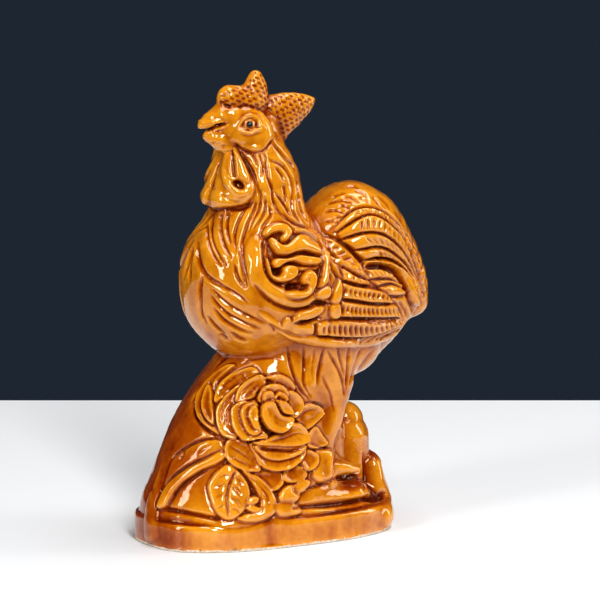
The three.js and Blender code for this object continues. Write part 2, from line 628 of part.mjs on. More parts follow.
// Keeps the largest connected piece of the surface.
function largestPiece({ positions, triangles }) {
  const parent = Array.from({ length: positions.length / 3 }, (_, n) => n);
  const root = (n) => {
    let r = n;
    while (parent[r] !== r) {
      parent[r] = parent[parent[r]];
      r = parent[r];
    }
    return r;
  };
  for (let t = 0; t < triangles.length; t += 3) {
    parent[root(triangles[t])] = root(triangles[t + 1]);
    parent[root(triangles[t + 1])] = root(triangles[t + 2]);
  }
  const counts = new Map();
  for (let t = 0; t < triangles.length; t += 3) {
    const r = root(triangles[t]);
    counts.set(r, (counts.get(r) ?? 0) + 1);
  }
  const [best] = [...counts.entries()].sort((a, b) => b[1] - a[1])[0];
  const kept = [];
  for (let t = 0; t < triangles.length; t += 3) {
    if (root(triangles[t]) === best) kept.push(triangles[t], triangles[t + 1], triangles[t + 2]);
  }
  return { positions, triangles: kept };
}

// A queue that gives the cheapest entry first.
class Queue {
  constructor() {
    this.items = [];
  }

  push(item) {
    const { items } = this;
    let n = items.push(item) - 1;
    while (n > 0) {
      const up = (n - 1) >> 1;
      if (items[up].cost <= items[n].cost) break;
      [items[up], items[n]] = [items[n], items[up]];
      n = up;
    }
  }

  pop() {
    const { items } = this;
    const top = items[0];
    const last = items.pop();
    if (items.length > 0) {
      items[0] = last;
      let n = 0;
      for (;;) {
        let least = n;
        for (const child of [2 * n + 1, 2 * n + 2]) {
          if (child < items.length && items[child].cost < items[least].cost) least = child;
        }
        if (least === n) break;
        [items[least], items[n]] = [items[n], items[least]];
        n = least;
      }
    }
    return top;
  }
}

// Joins neighbouring vertices where the surface is flattest until only the wanted triangles are
// left. The cost of a join is the squared distance to the planes that meet there, and no join may
// pinch the surface or turn a triangle over.
function simplify({ positions, triangles }, wanted) {
  const count = positions.length / 3;
  const points = [];
  for (let n = 0; n < count; n += 1) {
    points.push(new THREE.Vector3(positions[3 * n], positions[3 * n + 1], positions[3 * n + 2]));
  }
  const faces = [];
  const around = Array.from({ length: count }, () => new Set());
  for (let t = 0; t < triangles.length; t += 3) {
    const face = [triangles[t], triangles[t + 1], triangles[t + 2]];
    face.forEach((v) => around[v].add(faces.length));
    faces.push(face);
  }
  const quadrics = points.map((p) => {
    const pull = 1e-3;
    return [pull, 0, 0, -pull * p.x, pull, 0, -pull * p.y, pull, -pull * p.z, pull * p.lengthSq()];
  });
  const edgeA = new THREE.Vector3();
  const edgeB = new THREE.Vector3();
  const normalOf = (a, b, c) => {
    edgeA.subVectors(b, a);
    edgeB.subVectors(c, a);
    return new THREE.Vector3().crossVectors(edgeA, edgeB);
  };
  for (const face of faces) {
    const normal = normalOf(...face.map((v) => points[v]));
    const area = normal.length() / 2;
    normal.normalize();
    const { x, y, z } = normal;
    const w = -normal.dot(points[face[0]]);
    const plane = [x * x, x * y, x * z, x * w, y * y, y * z, y * w, z * z, z * w, w * w];
    for (const v of face) {
      plane.forEach((value, n) => {
        quadrics[v][n] += value * area;
      });
    }
  }
  const costAt = (q, p) =>
    q[0] * p.x * p.x + 2 * q[1] * p.x * p.y + 2 * q[2] * p.x * p.z + 2 * q[3] * p.x
    + q[4] * p.y * p.y + 2 * q[5] * p.y * p.z + 2 * q[6] * p.y
    + q[7] * p.z * p.z + 2 * q[8] * p.z + q[9];
  const matrix = new THREE.Matrix3();
  const bestPoint = (q, a, b) => {
    const middle = a.clone().add(b).multiplyScalar(0.5);
    matrix.set(q[0], q[1], q[2], q[1], q[4], q[5], q[2], q[5], q[7]);
    if (Math.abs(matrix.determinant()) > 1e-7) {
      const solved = new THREE.Vector3(-q[3], -q[6], -q[8]).applyMatrix3(matrix.clone().invert());
      if (solved.distanceTo(middle) < 1.5 * a.distanceTo(b)) return solved;
    }
    return middle;
  };
  const version = new Uint32Array(count);
  const queue = new Queue();
  const offer = (a, b) => {
    const quadric = quadrics[a].map((value, n) => value + quadrics[b][n]);
    const point = bestPoint(quadric, points[a], points[b]);
    queue.push({ cost: costAt(quadric, point), a, b, point, stampA: version[a], stampB: version[b] });
  };
  const neighbours = (v) => {
    const ring = new Set();
    for (const f of around[v]) faces[f].forEach((u) => ring.add(u));
    ring.delete(v);
    return ring;
  };
  for (const [a, b, c] of faces) {
    if (a < b) offer(a, b);
    if (b < c) offer(b, c);
    if (c < a) offer(c, a);
  }
  const turnsOver = (v, other, point) => {
    for (const f of around[v]) {
      const face = faces[f];
      if (!face.includes(other)) {
        const before = normalOf(...face.map((u) => points[u]));
        const after = normalOf(...face.map((u) => (u === v ? point : points[u])));
        if (before.dot(after) <= 0.3 * before.length() * after.length()) return true;
      }
    }
    return false;
  };
  let left = faces.length;
  while (left > wanted && queue.items.length > 0) {
    const { a, b, point, stampA, stampB } = queue.pop();
    const current = stampA === version[a] && stampB === version[b];
    if (current && around[a].size > 0 && around[b].size > 0) {
      const ringA = neighbours(a);
      const ringB = neighbours(b);
      const shared = [...ringA].filter((v) => ringB.has(v)).length;
      if (ringA.has(b) && shared === 2 && !turnsOver(a, b, point) && !turnsOver(b, a, point)) {
        points[a].copy(point);
        quadrics[a] = quadrics[a].map((value, n) => value + quadrics[b][n]);
        for (const f of [...around[b]]) {
          if (faces[f].includes(a)) {
            faces[f].forEach((v) => around[v].delete(f));
            faces[f] = null;
            left -= 1;
          } else {
            faces[f] = faces[f].map((v) => (v === b ? a : v));
            around[a].add(f);
          }
        }
        around[b].clear();
        version[a] += 1;
        version[b] += 1;
        for (const v of neighbours(a)) offer(a, v);
      }
    }
  }
  const renumbered = new Map();
  const keptPositions = [];
  const keptTriangles = [];
  for (const face of faces.filter(Boolean)) {
    for (const v of face) {
      if (!renumbered.has(v)) {
        renumbered.set(v, keptPositions.length / 3);
        keptPositions.push(points[v].x, points[v].y, points[v].z);
      }
      keptTriangles.push(renumbered.get(v));
    }
  }
  return { positions: keptPositions, triangles: keptTriangles };
}

function plinthGeometry() {
  const outline = new THREE.Shape();
  for (let n = 0; n < PLINTH_SIDES; n += 1) {
    const angle = (2 * Math.PI * n) / PLINTH_SIDES;
    const share = (value) => Math.sign(value) * Math.abs(value) ** (2 / PLINTH_SQUARENESS);
    const x = PLINTH_LENGTH / 2 - PLINTH_FRONT + (PLINTH_LENGTH / 2) * share(Math.cos(angle));
    const y = (TOTAL_WIDTH / 2) * share(Math.sin(angle));
    if (n === 0) outline.moveTo(x, y);
    else outline.lineTo(x, y);
  }
  outline.closePath();
  // The block is made twice as high, with both edges rounded, and its lower half is cut away.
  const geometry = new THREE.ExtrudeGeometry(outline, {
    depth: 2 * (PLINTH_HEIGHT - PLINTH_EDGE_RADIUS),
    bevelThickness: PLINTH_EDGE_RADIUS,
    bevelSize: PLINTH_EDGE_RADIUS,
    bevelOffset: -PLINTH_EDGE_RADIUS,
    bevelSegments: 3,
  });
  geometry.translate(0, 0, PLINTH_EDGE_RADIUS - PLINTH_HEIGHT);
  return geometry;
}

const wasm = await Module();
wasm.setup();

function solidFrom(positions, triangles) {
  return new wasm.Manifold(new wasm.Mesh({
    numProp: 3,
    vertProperties: new Float32Array(positions),
    triVerts: new Uint32Array(triangles),
  }));
}

function solidFromGeometry(geometry) {
  const bare = geometry.clone();
  bare.deleteAttribute('normal');
  bare.deleteAttribute('uv');
  const merged = mergeVertices(bare, 1e-4);
  return solidFrom(merged.attributes.position.array, merged.index.array);
}

function geometryFrom(solid) {
  const { vertProperties, triVerts } = solid.getMesh();
  const geometry = new THREE.BufferGeometry();
  geometry.setAttribute('position', new THREE.BufferAttribute(vertProperties.slice(), 3));
  geometry.setIndex(new THREE.BufferAttribute(triVerts.slice(), 1));
  return geometry;
}

function valleyGeometry(side) {
  const geometry = new THREE.CylinderGeometry(VALLEY_RADIUS, VALLEY_RADIUS, 4 * PLINTH_HEIGHT, 32);
  geometry.rotateX(Math.PI / 2);
  geometry.translate(-VALLEY_PLACE, side * (TOTAL_WIDTH / 2 + VALLEY_RADIUS - VALLEY_DEPTH), 0);
  return geometry;
}

const figure = simplify(largestPiece(polygonise(sampleLattice())), FIGURE_TRIANGLES);
const aboveGround = new THREE.BoxGeometry(2 * PLINTH_LENGTH, 2 * TOTAL_WIDTH, 2 * PLINTH_HEIGHT);
aboveGround.translate(0, 0, PLINTH_HEIGHT);
let plinth = solidFromGeometry(plinthGeometry()).intersect(solidFromGeometry(aboveGround));
for (const side of [-1, 1]) {
  plinth = plinth.subtract(solidFromGeometry(valleyGeometry(side)));
}
const casting = geometryFrom(solidFrom(figure.positions, figure.triangles).add(plinth));

// The origin is the middle of the underside of the figure's box.
casting.computeBoundingBox();
const boxCentre = casting.boundingBox.getCenter(new THREE.Vector3());
casting.translate(-boxCentre.x, -boxCentre.y, -casting.boundingBox.min.z);
casting.computeVertexNormals();

const amberGlaze = new THREE.MeshStandardMaterial({ color: 0xc8780f, roughness: 0.12, metalness: 0 });
const rooster = new THREE.Mesh(casting, amberGlaze);
rooster.name = 'rooster_figure';

const group = new THREE.Group();
group.add(rooster);
export default group;
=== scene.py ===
"""A rooster on a rock with a peony, in amber glazed earthenware."""

import math

import bmesh
import bpy
import numpy as np
from mathutils import Matrix, Vector


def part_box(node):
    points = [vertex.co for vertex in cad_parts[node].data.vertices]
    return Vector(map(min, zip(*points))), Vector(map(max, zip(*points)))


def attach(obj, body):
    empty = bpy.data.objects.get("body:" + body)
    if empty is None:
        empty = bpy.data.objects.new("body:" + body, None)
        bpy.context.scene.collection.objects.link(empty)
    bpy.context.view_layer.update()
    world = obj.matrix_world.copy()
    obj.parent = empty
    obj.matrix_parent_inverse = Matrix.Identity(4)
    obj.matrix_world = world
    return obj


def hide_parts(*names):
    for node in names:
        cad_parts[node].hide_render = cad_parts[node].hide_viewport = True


bl_info = {
    "name": "Glazed rooster figurine",
    "version": (1, 0, 0),
    "blender": (4, 5, 0),
    "location": "3D View > Sidebar > Rooster",
    "description": "Builds a moulded and glazed rooster figurine inside its solid's box",
    "category": "Add Mesh",
}

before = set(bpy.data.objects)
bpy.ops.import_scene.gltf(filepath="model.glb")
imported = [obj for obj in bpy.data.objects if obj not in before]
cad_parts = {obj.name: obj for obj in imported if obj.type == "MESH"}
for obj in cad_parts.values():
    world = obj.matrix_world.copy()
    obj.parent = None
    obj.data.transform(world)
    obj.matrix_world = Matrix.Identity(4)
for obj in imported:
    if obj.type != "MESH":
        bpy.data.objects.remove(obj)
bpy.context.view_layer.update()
FIGURE_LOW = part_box("rooster_figure")[0]
MM = 0.001

# Driving sizes, in millimetres
TOTAL_HEIGHT = 160.0
PLINTH_LENGTH = 91.0
# The plinth's reach in front of the middle of the figure
PLINTH_FRONT = 46.5
TOTAL_WIDTH = 55.0
PLINTH_HEIGHT = 10.0
PLINTH_EDGE_RADIUS = 1.6
# The soft overlap of top and edge that gives that radius
PLINTH_EDGE_BLEND = PLINTH_EDGE_RADIUS * 1.6
PLINTH_SQUARENESS = 2.6
PLINTH_LIP = 1.6
COMB_TIP = 156.3
COMB_TIP_RADIUS = 2.3
TAIL_END = 56.4
TAIL_END_RADIUS = 4.6
SCALE = (TOTAL_HEIGHT - PLINTH_HEIGHT) / (COMB_TIP + COMB_TIP_RADIUS - PLINTH_HEIGHT)
# The width that the form is worked in, before it is brought to the total width
WORKED_WIDTH = 54.5
SCALE_ACROSS = TOTAL_WIDTH / WORKED_WIDTH
# The carving plane faces the photograph's camera: its turn about the upright, and its tip
CARVING_TURN = math.radians(28)
CARVING_TIP = math.radians(11)
# How squarely the surface faces that plane where the carving starts, and where it is full
FACING_NONE = 0.1
FACING_FULL = 0.35
# The heights over which the carving comes in above the foot
FOOT_NONE = 0.4
FOOT_FULL = 1.4
ROCK_TOP = 66
# Below this height the far flank stays plain, except where it faces squarely sideways
PLAIN_HEIGHT = 62
SIDEWAYS_NONE = 0.62
SIDEWAYS_FULL = 0.92
# The box round the near half, in which the form is looked for
FORM_LOW = (-48, 0, -1)
FORM_HIGH = (64, 30, 162)
# Heights of a hand-finished mould's broad and fine waves
BROAD_WAVE = 0.07
FINE_WAVE = 0.05
# How much pooled glaze there is everywhere, and what each kind of place adds to it
POOL_EVERYWHERE = 0.33
POOL_FINE = 0.65
POOL_BROAD = 0.5
POOL_LEVEL = 0.62
# The front faces' share is painted shade, not pooled glaze
FRONT_SHADE = 0.36
POOL_WING = 0.14
# The photograph's frame: its width in pixels, its scale, and the middle of it on the carving plane
IMAGE_WIDTH = 600
PIXELS_PER_MM = 2.922
VIEW_CENTRE = (11.63, 78.95)
# The eye on the carving plane
EYE_CENTRE = (-5.3, 137.1)
EYE_RADIUS = 1.9
# The ray that finds the eye starts this far in front of it
EYE_RAY_START = 60
PUPIL_SEGMENTS = 24
PUPIL_RINGS = 14
PUPIL_FLATNESS = 0.8
# The field of comb pits: its middle in the side plane, its rows and their slope
COMB_MIDDLE = (2.0, 0.0, 146.0)
COMB_FIELD_ROWS = 33
COMB_ROW_SLOPE = math.radians(24)
# The pits' wander as a share of their spacing, how far glaze fills them, and the seed of the wander
PIT_WANDER = 0.16
PIT_FILL = 0.75
PIT_SEED = 7
# The wave in the line to which the foot is wiped, in millimetres
WIPED_WAVE = 0.22
# How near the cut, in metres, a point counts as on it
CUT_REACH = 1e-6
# Sizes of the marks in the glaze, the clay and the brushed black, in millimetres
CLOUD_SIZE = 14
FLECK_SIZE = 1.6
RUN_SIZE = 4.5
RUN_STRETCH = (1.0, 1.0, 0.22)
WAVE_SIZE = 3.5
GRIT_SIZE = 0.8
BRUSH_SIZE = 0.7
# Lights: place, size in metres, and power
LIT_POINT = (0.0, 0.0, 0.08)
LIGHTS = (
    ("front softbox", (-0.25, -1.1, 0.95), (0.22, 0.9), 18.0),
    ("left softbox", (-1.15, -0.35, 0.5), (0.2, 0.9), 7.0),
    ("top softbox", (0.25, -0.1, 1.2), (0.7, 0.7), 9.0),
    ("right softbox", (1.0, -0.45, 0.5), (0.25, 0.8), 4.0),
)
# The kind of number that the form is worked out with
REAL = np.float32
# What keeps a division from zero, as a length and as a square
TINY = 1e-6
TINY_SQUARE = 1e-9
# Farther, squared, than anything on the carving plane
FAR = 1e9
# A groove's flanks reach this many of its widths
GROOVE_REACH = 2.6


def blend(a, b, width):
    """Soft union of two distances."""
    share = np.maximum(width - np.abs(a - b), 0) / width
    return np.minimum(a, b) - share * share * width * 0.25


def overlap(a, b, width):
    """Soft intersection of two distances."""
    return -blend(-a, -b, width)


def smooth_step(value, low, high):
    """Zero below low, one above high, and a smooth climb between them."""
    t = np.clip((value - low) / (high - low), 0, 1)
    return t * t * (3 - 2 * t)


def spline(points, steps=6):
    """A smooth path through the points."""
    p = np.array(points, float)
    if len(p) == 2:
        return p
    p = np.vstack([2 * p[0] - p[1], p, 2 * p[-1] - p[-2]])
    t = np.linspace(0, 1, steps, endpoint=False)[:, None]
    parts = []
    for a, b, c, d in zip(p[:-3], p[1:-2], p[2:-1], p[3:]):
        square, cube = 2 * a - 5 * b + 4 * c - d, 3 * b - a - 3 * c + d
        parts.append(0.5 * (2 * b + (c - a) * t + square * t ** 2 + cube * t ** 3))
    return np.vstack(parts + [p[-2]])


def mass(points, *stations, steps=1):
    """Elliptical sections along a path in the side plane: (x, z, radius, half thickness, y)."""
    x, y, z = points
    rows = [tuple(s) + (0.0,) * (5 - len(s)) for s in stations]
    if len(rows) == 1:
        rows = rows * 2
    if steps > 1:
        rows = spline(rows, steps).tolist()
    nearest = None
    for (x0, z0, r0, w0, y0), (x1, z1, r1, w1, y1) in zip(rows[:-1], rows[1:]):
        ex, ez = x1 - x0, z1 - z0
        t = np.clip(((x - x0) * ex + (z - z0) * ez) / max(ex * ex + ez * ez, TINY), 0, 1)
        across = np.hypot(x - x0 - ex * t, z - z0 - ez * t)
        radius = r0 + (r1 - r0) * t
        half = w0 + (w1 - w0) * t
        side = y - y0 - (y1 - y0) * t
        k0 = np.hypot(across / radius, side / half)
        k1 = np.hypot(across / radius ** 2, side / half ** 2) + TINY
        distance = k0 * (k0 - 1) / k1
        nearest = distance if nearest is None else np.minimum(nearest, distance)
    return nearest


def oval(x, y, centre, half_length, half_width, squareness):
    """Distance to a rounded oval outline in plan."""
    u = np.abs(x - centre) / half_length + 1e-4
    v = y / half_width + 1e-4
    rho = (u ** squareness + v ** squareness) ** (1 / squareness)
    slope = np.hypot(u ** (squareness - 1) / half_length, v ** (squareness - 1) / half_width)
    return (rho - 1) / (rho ** (1 - squareness) * slope)


def profile(rows, z):
    """The value at each height, on a smooth line through rows of height and value."""
    heights, values = spline(rows, 5).T
    return np.interp(z, heights, values).astype(REAL)


FOOT_FRONT = (PLINTH_FRONT - PLINTH_LIP) / SCALE
FOOT_REAR = (PLINTH_LENGTH - PLINTH_FRONT - PLINTH_LIP) / SCALE
FOOT_WIDTH = (TOTAL_WIDTH / 2 - PLINTH_LIP) / SCALE_ACROSS
# The rock's front, rear and half width: height and reach
ROCK_FRONT = ((10, -FOOT_FRONT), (16, -43.6), (22, -41.4), (28, -39.4), (38, -34.7), (48, -28.2),
              (57, -20.6), (64, -14.8))
ROCK_REAR = ((10, 24), (28, 21), (38, 19))
ROCK_HALF_WIDTH = ((10, FOOT_WIDTH), (28, 22.4), (38, 21.5), (48, 20.5), (57, 19.5), (64, 17.5))
# How far the foot of the rock spreads to the plinth's edge towards its front
ROCK_SPREAD = 1.1


def rock(p):
    x, y, z = p
    front, rear = profile(ROCK_FRONT, z), profile(ROCK_REAR, z)
    middle = (front + rear) / 2
    squareness = np.where(x < middle, 2.0, 3.2).astype(REAL)
    spread = ROCK_SPREAD * smooth_step(-x, -4, 8) * (1 - smooth_step(z, 11, 26))
    plan = oval(x, y, middle, (rear - front) / 2, profile(ROCK_HALF_WIDTH, z), squareness) - spread
    body = overlap(plan * 0.92, z - ROCK_TOP, 3)
    body = blend(body, mass(p, (4, 8, 10, 24), (22, 6, 11, 23), (FOOT_REAR - 8, 5, 9.2, FOOT_WIDTH - 4)), 4)
    body = blend(body, mass(p, (26.4, 10, 11, 13), (28.8, 30, 9.4, 10), (30, 35.4, 6.6, 7)), 3)
    body = blend(body, mass(p, (13, 12, 6.4, 9, 12), (25, 12.4, 6.4, 9, 12)), 3)
    return blend(body, mass(p, (37, 9.4, 7.5, 11, 3), (36.8, 20.6, 4.4, 8, 3)), 1.5)


def comb(p):
    front = mass(p, (-13.8, 149.7, 4.7, 3.6), (-7.6, 149, 4.8, 3.8))
    middle = mass(p, (-4.5, 148.6, 5.4, 3.8), (-4.2, 152.6, 4.3, 3.2),
                  (-3.9, COMB_TIP, COMB_TIP_RADIUS, 2.2), steps=3)
    rear = mass(p, (2.6, 145, 4.8, 3.6), (8.4, 144.3, 5.8, 3.4), (13.4, 145.2, 4.1, 2.7),
                (17.4, 146.7, 1.3, 1.5), steps=4)
    foot = mass(p, (7, 140.6, 5, 3.2), (5.8, 136.4, 2.4, 2.4))
    return blend(blend(front, middle, 1.2), blend(rear, foot, 3), 0.8)


def skull(p):
    form = mass(p, (-4.4, 137.2, 8, 8.2), (-9, 138.5, 8, 7.6), (-13, 140, 5.5, 5.5))
    upper = mass(p, (-13.4, 143.6, 4.0, 5), (-17.4, 143.9, 3.3, 3.9), (-20.9, 142.9, 2.3, 2.7),
                 (-23.4, 141.9, 1.3, 1.7), (-24.5, 141.4, 0.7, 1))
    lower = mass(p, (-13, 135.8, 4.5, 4.6), (-17.4, 136.4, 3.3, 3.5), (-20.5, 137.2, 1.8, 2.1),
                 (-22.2, 137.5, 0.8, 1.2))
    mouth = mass(p, (-14, 140.6, 2.5, 2.4), (-21, 140.4, 1.4, 0.9))
    return blend(blend(form, blend(upper, mouth, 0.4), 1), lower, 0.6)


def head(p):
    form = blend(skull(p), comb(p), 2.4)
    wattle = mass(p, (-11.6, 132.4, 2.6, 2.6, 3.8), (-12.6, 126.4, 3.6, 3.2, 4.6),
                  (-13.3, 118.8, 5.2, 4.2, 5.4), steps=2)
    fold = mass(p, (-12.6, 130, 2.6, 3, 1.6), (-13.8, 124.4, 3.6, 3.8, 2.2), (-15.5, 116, 5.4, 5.2, 3.2),
                steps=2)
    return blend(form, blend(wattle, fold, 0.6), 0.6)


def bird(p):
    breast = mass(p, (-4.5, 86.6, 25.5, 24))
    trunk = mass(p, (-3, 84, 23, 23.5), (14, 82, 19, 22.5), (30, 84, 14, 18), (42, 88, 9, 12), steps=3)
    form = blend(breast, trunk, 6)
    rump = mass(p, (14, 68, 14, 18), (20, 62, 14, 17), (28, 66, 15, 16), (38, 71.6, 13.2, 12),
                (50, 78.4, 10.4, 8))
    form = blend(form, rump, 4)
    wing = mass(p, (-2, 88, 15.5, 3.6, 20.1), (12, 82, 14.5, 4, 20.4), (28, 79, 12.5, 4, 17.2),
                (40, 78, 10.5, 3.6, 12.5), (47, 78, 7, 3, 9), steps=4)
    form = blend(form, wing, 3)
    neck = mass(p, (-5, 96, 21, 20), (-2.1, 110.4, 15, 15.4), (-2.6, 120, 14, 13.5),
                (-3.3, 129, 10.5, 10.2), (-4.4, 136, 6.8, 7.2), steps=2)
    form = blend(form, neck, 7)
    tail = mass(p, (23.6, 92, 15, 17), (32, 102.3, 15.5, 17.5), (41.4, 94.6, 13.2, 15),
                (50.5, 84, 9.4, 10.5), (TAIL_END, 74.6, TAIL_END_RADIUS, 6.4), steps=3)
    form = blend(form, tail, 3)
    leg = mass(p, (14, 68, 14, 10, 11), (16.4, 53, 10, 7.7, 12), (17.1, 45.5, 6, 6.5, 12.5),
               (16.2, 40, 5.4, 6, 13.2), (14.4, 35.4, 4.6, 5.4, 13.8), (13.2, 30.5, 3.8, 5, 14.4),
               (13.6, 25, 3.6, 5.4, 15), (13.8, 19.6, 3.6, 5.4, 15.4), steps=2)
    form = blend(form, leg, 3)
    toe = mass(p, (16, 23.4, 3.2, 3.6, 15.6), (22, 22.8, 2.2, 2.6, 16), (26.4, 21.8, 1.1, 1.6, 16))
    form = blend(form, toe, 1)
    form = blend(form, head(p), 2)
    between_legs = mass(p, (12, 66, 12, 14), (15, 50, 9, 12), (19, 30, 9, 12.4), (20, 12, 10, 13), steps=2)
    return blend(form, between_legs, 3)


def plinth(p):
    x, y, z = p
    middle = (PLINTH_LENGTH / 2 - PLINTH_FRONT) / SCALE
    half_length = PLINTH_LENGTH / 2 / SCALE
    half_width = TOTAL_WIDTH / 2 / SCALE_ACROSS
    edge = oval(x, y, middle, half_length, half_width, PLINTH_SQUARENESS)
    return overlap(edge, z - PLINTH_HEIGHT, PLINTH_EDGE_BLEND)


def smooth_form(x, y, z):
    """Distance to the whole uncarved form, negative inside it, with both flanks alike."""
    p = (x, np.abs(y), z)
    return overlap(blend(plinth(p), blend(rock(p), bird(p), 2), 0.8), -z, 0.5)


# The lattice's blocks, in points along each side, and how many are worked out at once
BLOCK = 8
BLOCKS_AT_ONCE = 300
# A block is kept where the form passes within this many block sizes, and a millimetre, of its centre
BLOCK_REACH = 1.1
NEWTON_STEPS = 2
# The least slope that a Newton step divides by, and the reach over which directions are taken
LEAST_SLOPE = 0.2
DIRECTION_REACH = 0.3


def find_surface(field, low, high, step):
    """Surface nets over the near half, mirrored in y. Returns points and quads."""
    low = np.array(low, float)
    counts = np.ceil((np.array(high) - low) / step / BLOCK).astype(int) * BLOCK
    size = BLOCK * step
    centres = [low[i] + (np.arange(counts[i] // BLOCK) + 0.5) * size for i in range(3)]
    grid = np.meshgrid(*centres, indexing="ij")
    coarse = field(*[g.ravel().astype(REAL) for g in grid]).reshape(grid[0].shape)
    blocks = np.argwhere(np.abs(coarse) < size * BLOCK_REACH + 1) * BLOCK
    values = np.full(counts + 1, np.nan, REAL)
    offsets = np.arange(BLOCK + 1)
    corner = [g.ravel() for g in np.meshgrid(offsets, offsets, offsets, indexing="ij")]
    for start in range(0, len(blocks), BLOCKS_AT_ONCE):
        some = blocks[start:start + BLOCKS_AT_ONCE]
        index = [(some[:, i][:, None] + corner[i][None]).ravel() for i in range(3)]
        at = [(low[i] + index[i] * step).astype(REAL) for i in range(3)]
        values[tuple(index)] = field(*at)
    values = np.concatenate([values[:, :0:-1], values], 1)
    low[1] -= counts[1] * step
    return surface_nets(values, low, step)


def surface_nets(values, low, step):
    """One point in each lattice cell that the surface crosses, and the quads between them."""
    cells_in = np.array(values.shape) - 1
    inside = values < 0
    known = ~np.isnan(values)
    count = np.zeros(cells_in, np.int8)
    complete = np.ones(cells_in, bool)
    for n in range(8):
        part = tuple(slice((n >> a) & 1, cells_in[a] + ((n >> a) & 1)) for a in range(3))
        count += inside[part]
        complete &= known[part]
    cells = np.argwhere(complete & (count > 0) & (count < 8))
    number = np.full(cells_in, -1, np.int32)
    number[tuple(cells.T)] = np.arange(len(cells))
    total, hits = np.zeros((len(cells), 3)), np.zeros(len(cells))
    quads = []
    for axis in range(3):
        others = [a for a in range(3) if a != axis]
        for n in range(4):
            first = cells.copy()
            first[:, others[0]] += n & 1
            first[:, others[1]] += n >> 1
            last = first.copy()
            last[:, axis] += 1
            a, b = values[tuple(first.T)], values[tuple(last.T)]
            crossed = (a < 0) != (b < 0)
            share = np.where(crossed, a / np.where(crossed, a - b, 1), 0)
            place = (first - cells).astype(float)
            place[:, axis] += share
            total[crossed] += place[crossed]
            hits[crossed] += 1
        near = [slice(1, cells_in[a]) for a in range(3)]
        near[axis] = slice(0, cells_in[axis])
        far = list(near)
        far[axis] = slice(1, cells_in[axis] + 1)
        near, far = tuple(near), tuple(far)
        edges = np.argwhere((inside[near] != inside[far]) & known[near] & known[far])
        starts_inside = inside[near][tuple(edges.T)]
        around = edges.copy()
        around[:, others[0]] += 1
        around[:, others[1]] += 1
        u, v = np.zeros(3, int), np.zeros(3, int)
        u[others[0]] = 1
        v[others[1]] = 1
        quad = np.stack([number[tuple((around - shift).T)] for shift in (u + v, v, 0 * u, u)], 1)
        turned = starts_inside if axis != 1 else ~starts_inside
        quad[~turned] = quad[~turned][:, ::-1]
        quads.append(quad[(quad >= 0).all(1)])
    return low + (cells + total / hits[:, None]) * step, np.concatenate(quads)


def gradient(field, points, reach=0.15):
    """The field's slope at each point."""
    columns = []
    for axis in range(3):
        shift = np.zeros(3)
        shift[axis] = reach
        ahead = field(*(points + shift).T.astype(REAL))
        behind = field(*(points - shift).T.astype(REAL))
        columns.append((ahead - behind) / (2 * reach))
    return np.stack(columns, 1)


def on_the_form(field, points):
    """Moves lattice points onto the form and returns them with its outward directions."""
    for _ in range(NEWTON_STEPS):
        slope = gradient(field, points)
        value = field(*points.T.astype(REAL))
        points = points - slope * (value / np.maximum((slope ** 2).sum(1), LEAST_SLOPE))[:, None]
    slope = gradient(field, points, DIRECTION_REACH)
    return points, slope / np.maximum(np.linalg.norm(slope, axis=1), TINY)[:, None]


# Carving, laid out on the carving plane: q across and h up, in millimetres
def closed_spline(points, steps=5):
    """A smooth closed outline through the points."""
    p = np.array(points, float)
    return spline(np.vstack([p[-2:], p, p[:2]]), steps)[2 * steps:-steps]


def along(path, share):
    """The point at a share of a path's length."""
    steps = np.linalg.norm(np.diff(path, axis=0), axis=1)
    run = np.concatenate([[0], np.cumsum(steps)]) / steps.sum()
    return np.array([np.interp(share, run, path[:, 0]), np.interp(share, run, path[:, 1])])


def moved(path, across, up):
    """A path moved on the carving plane."""
    return [(q + across, h + up) for q, h in path]


# The narrow hollow round the foot of a plate
CREVICE_WIDTH = 0.32


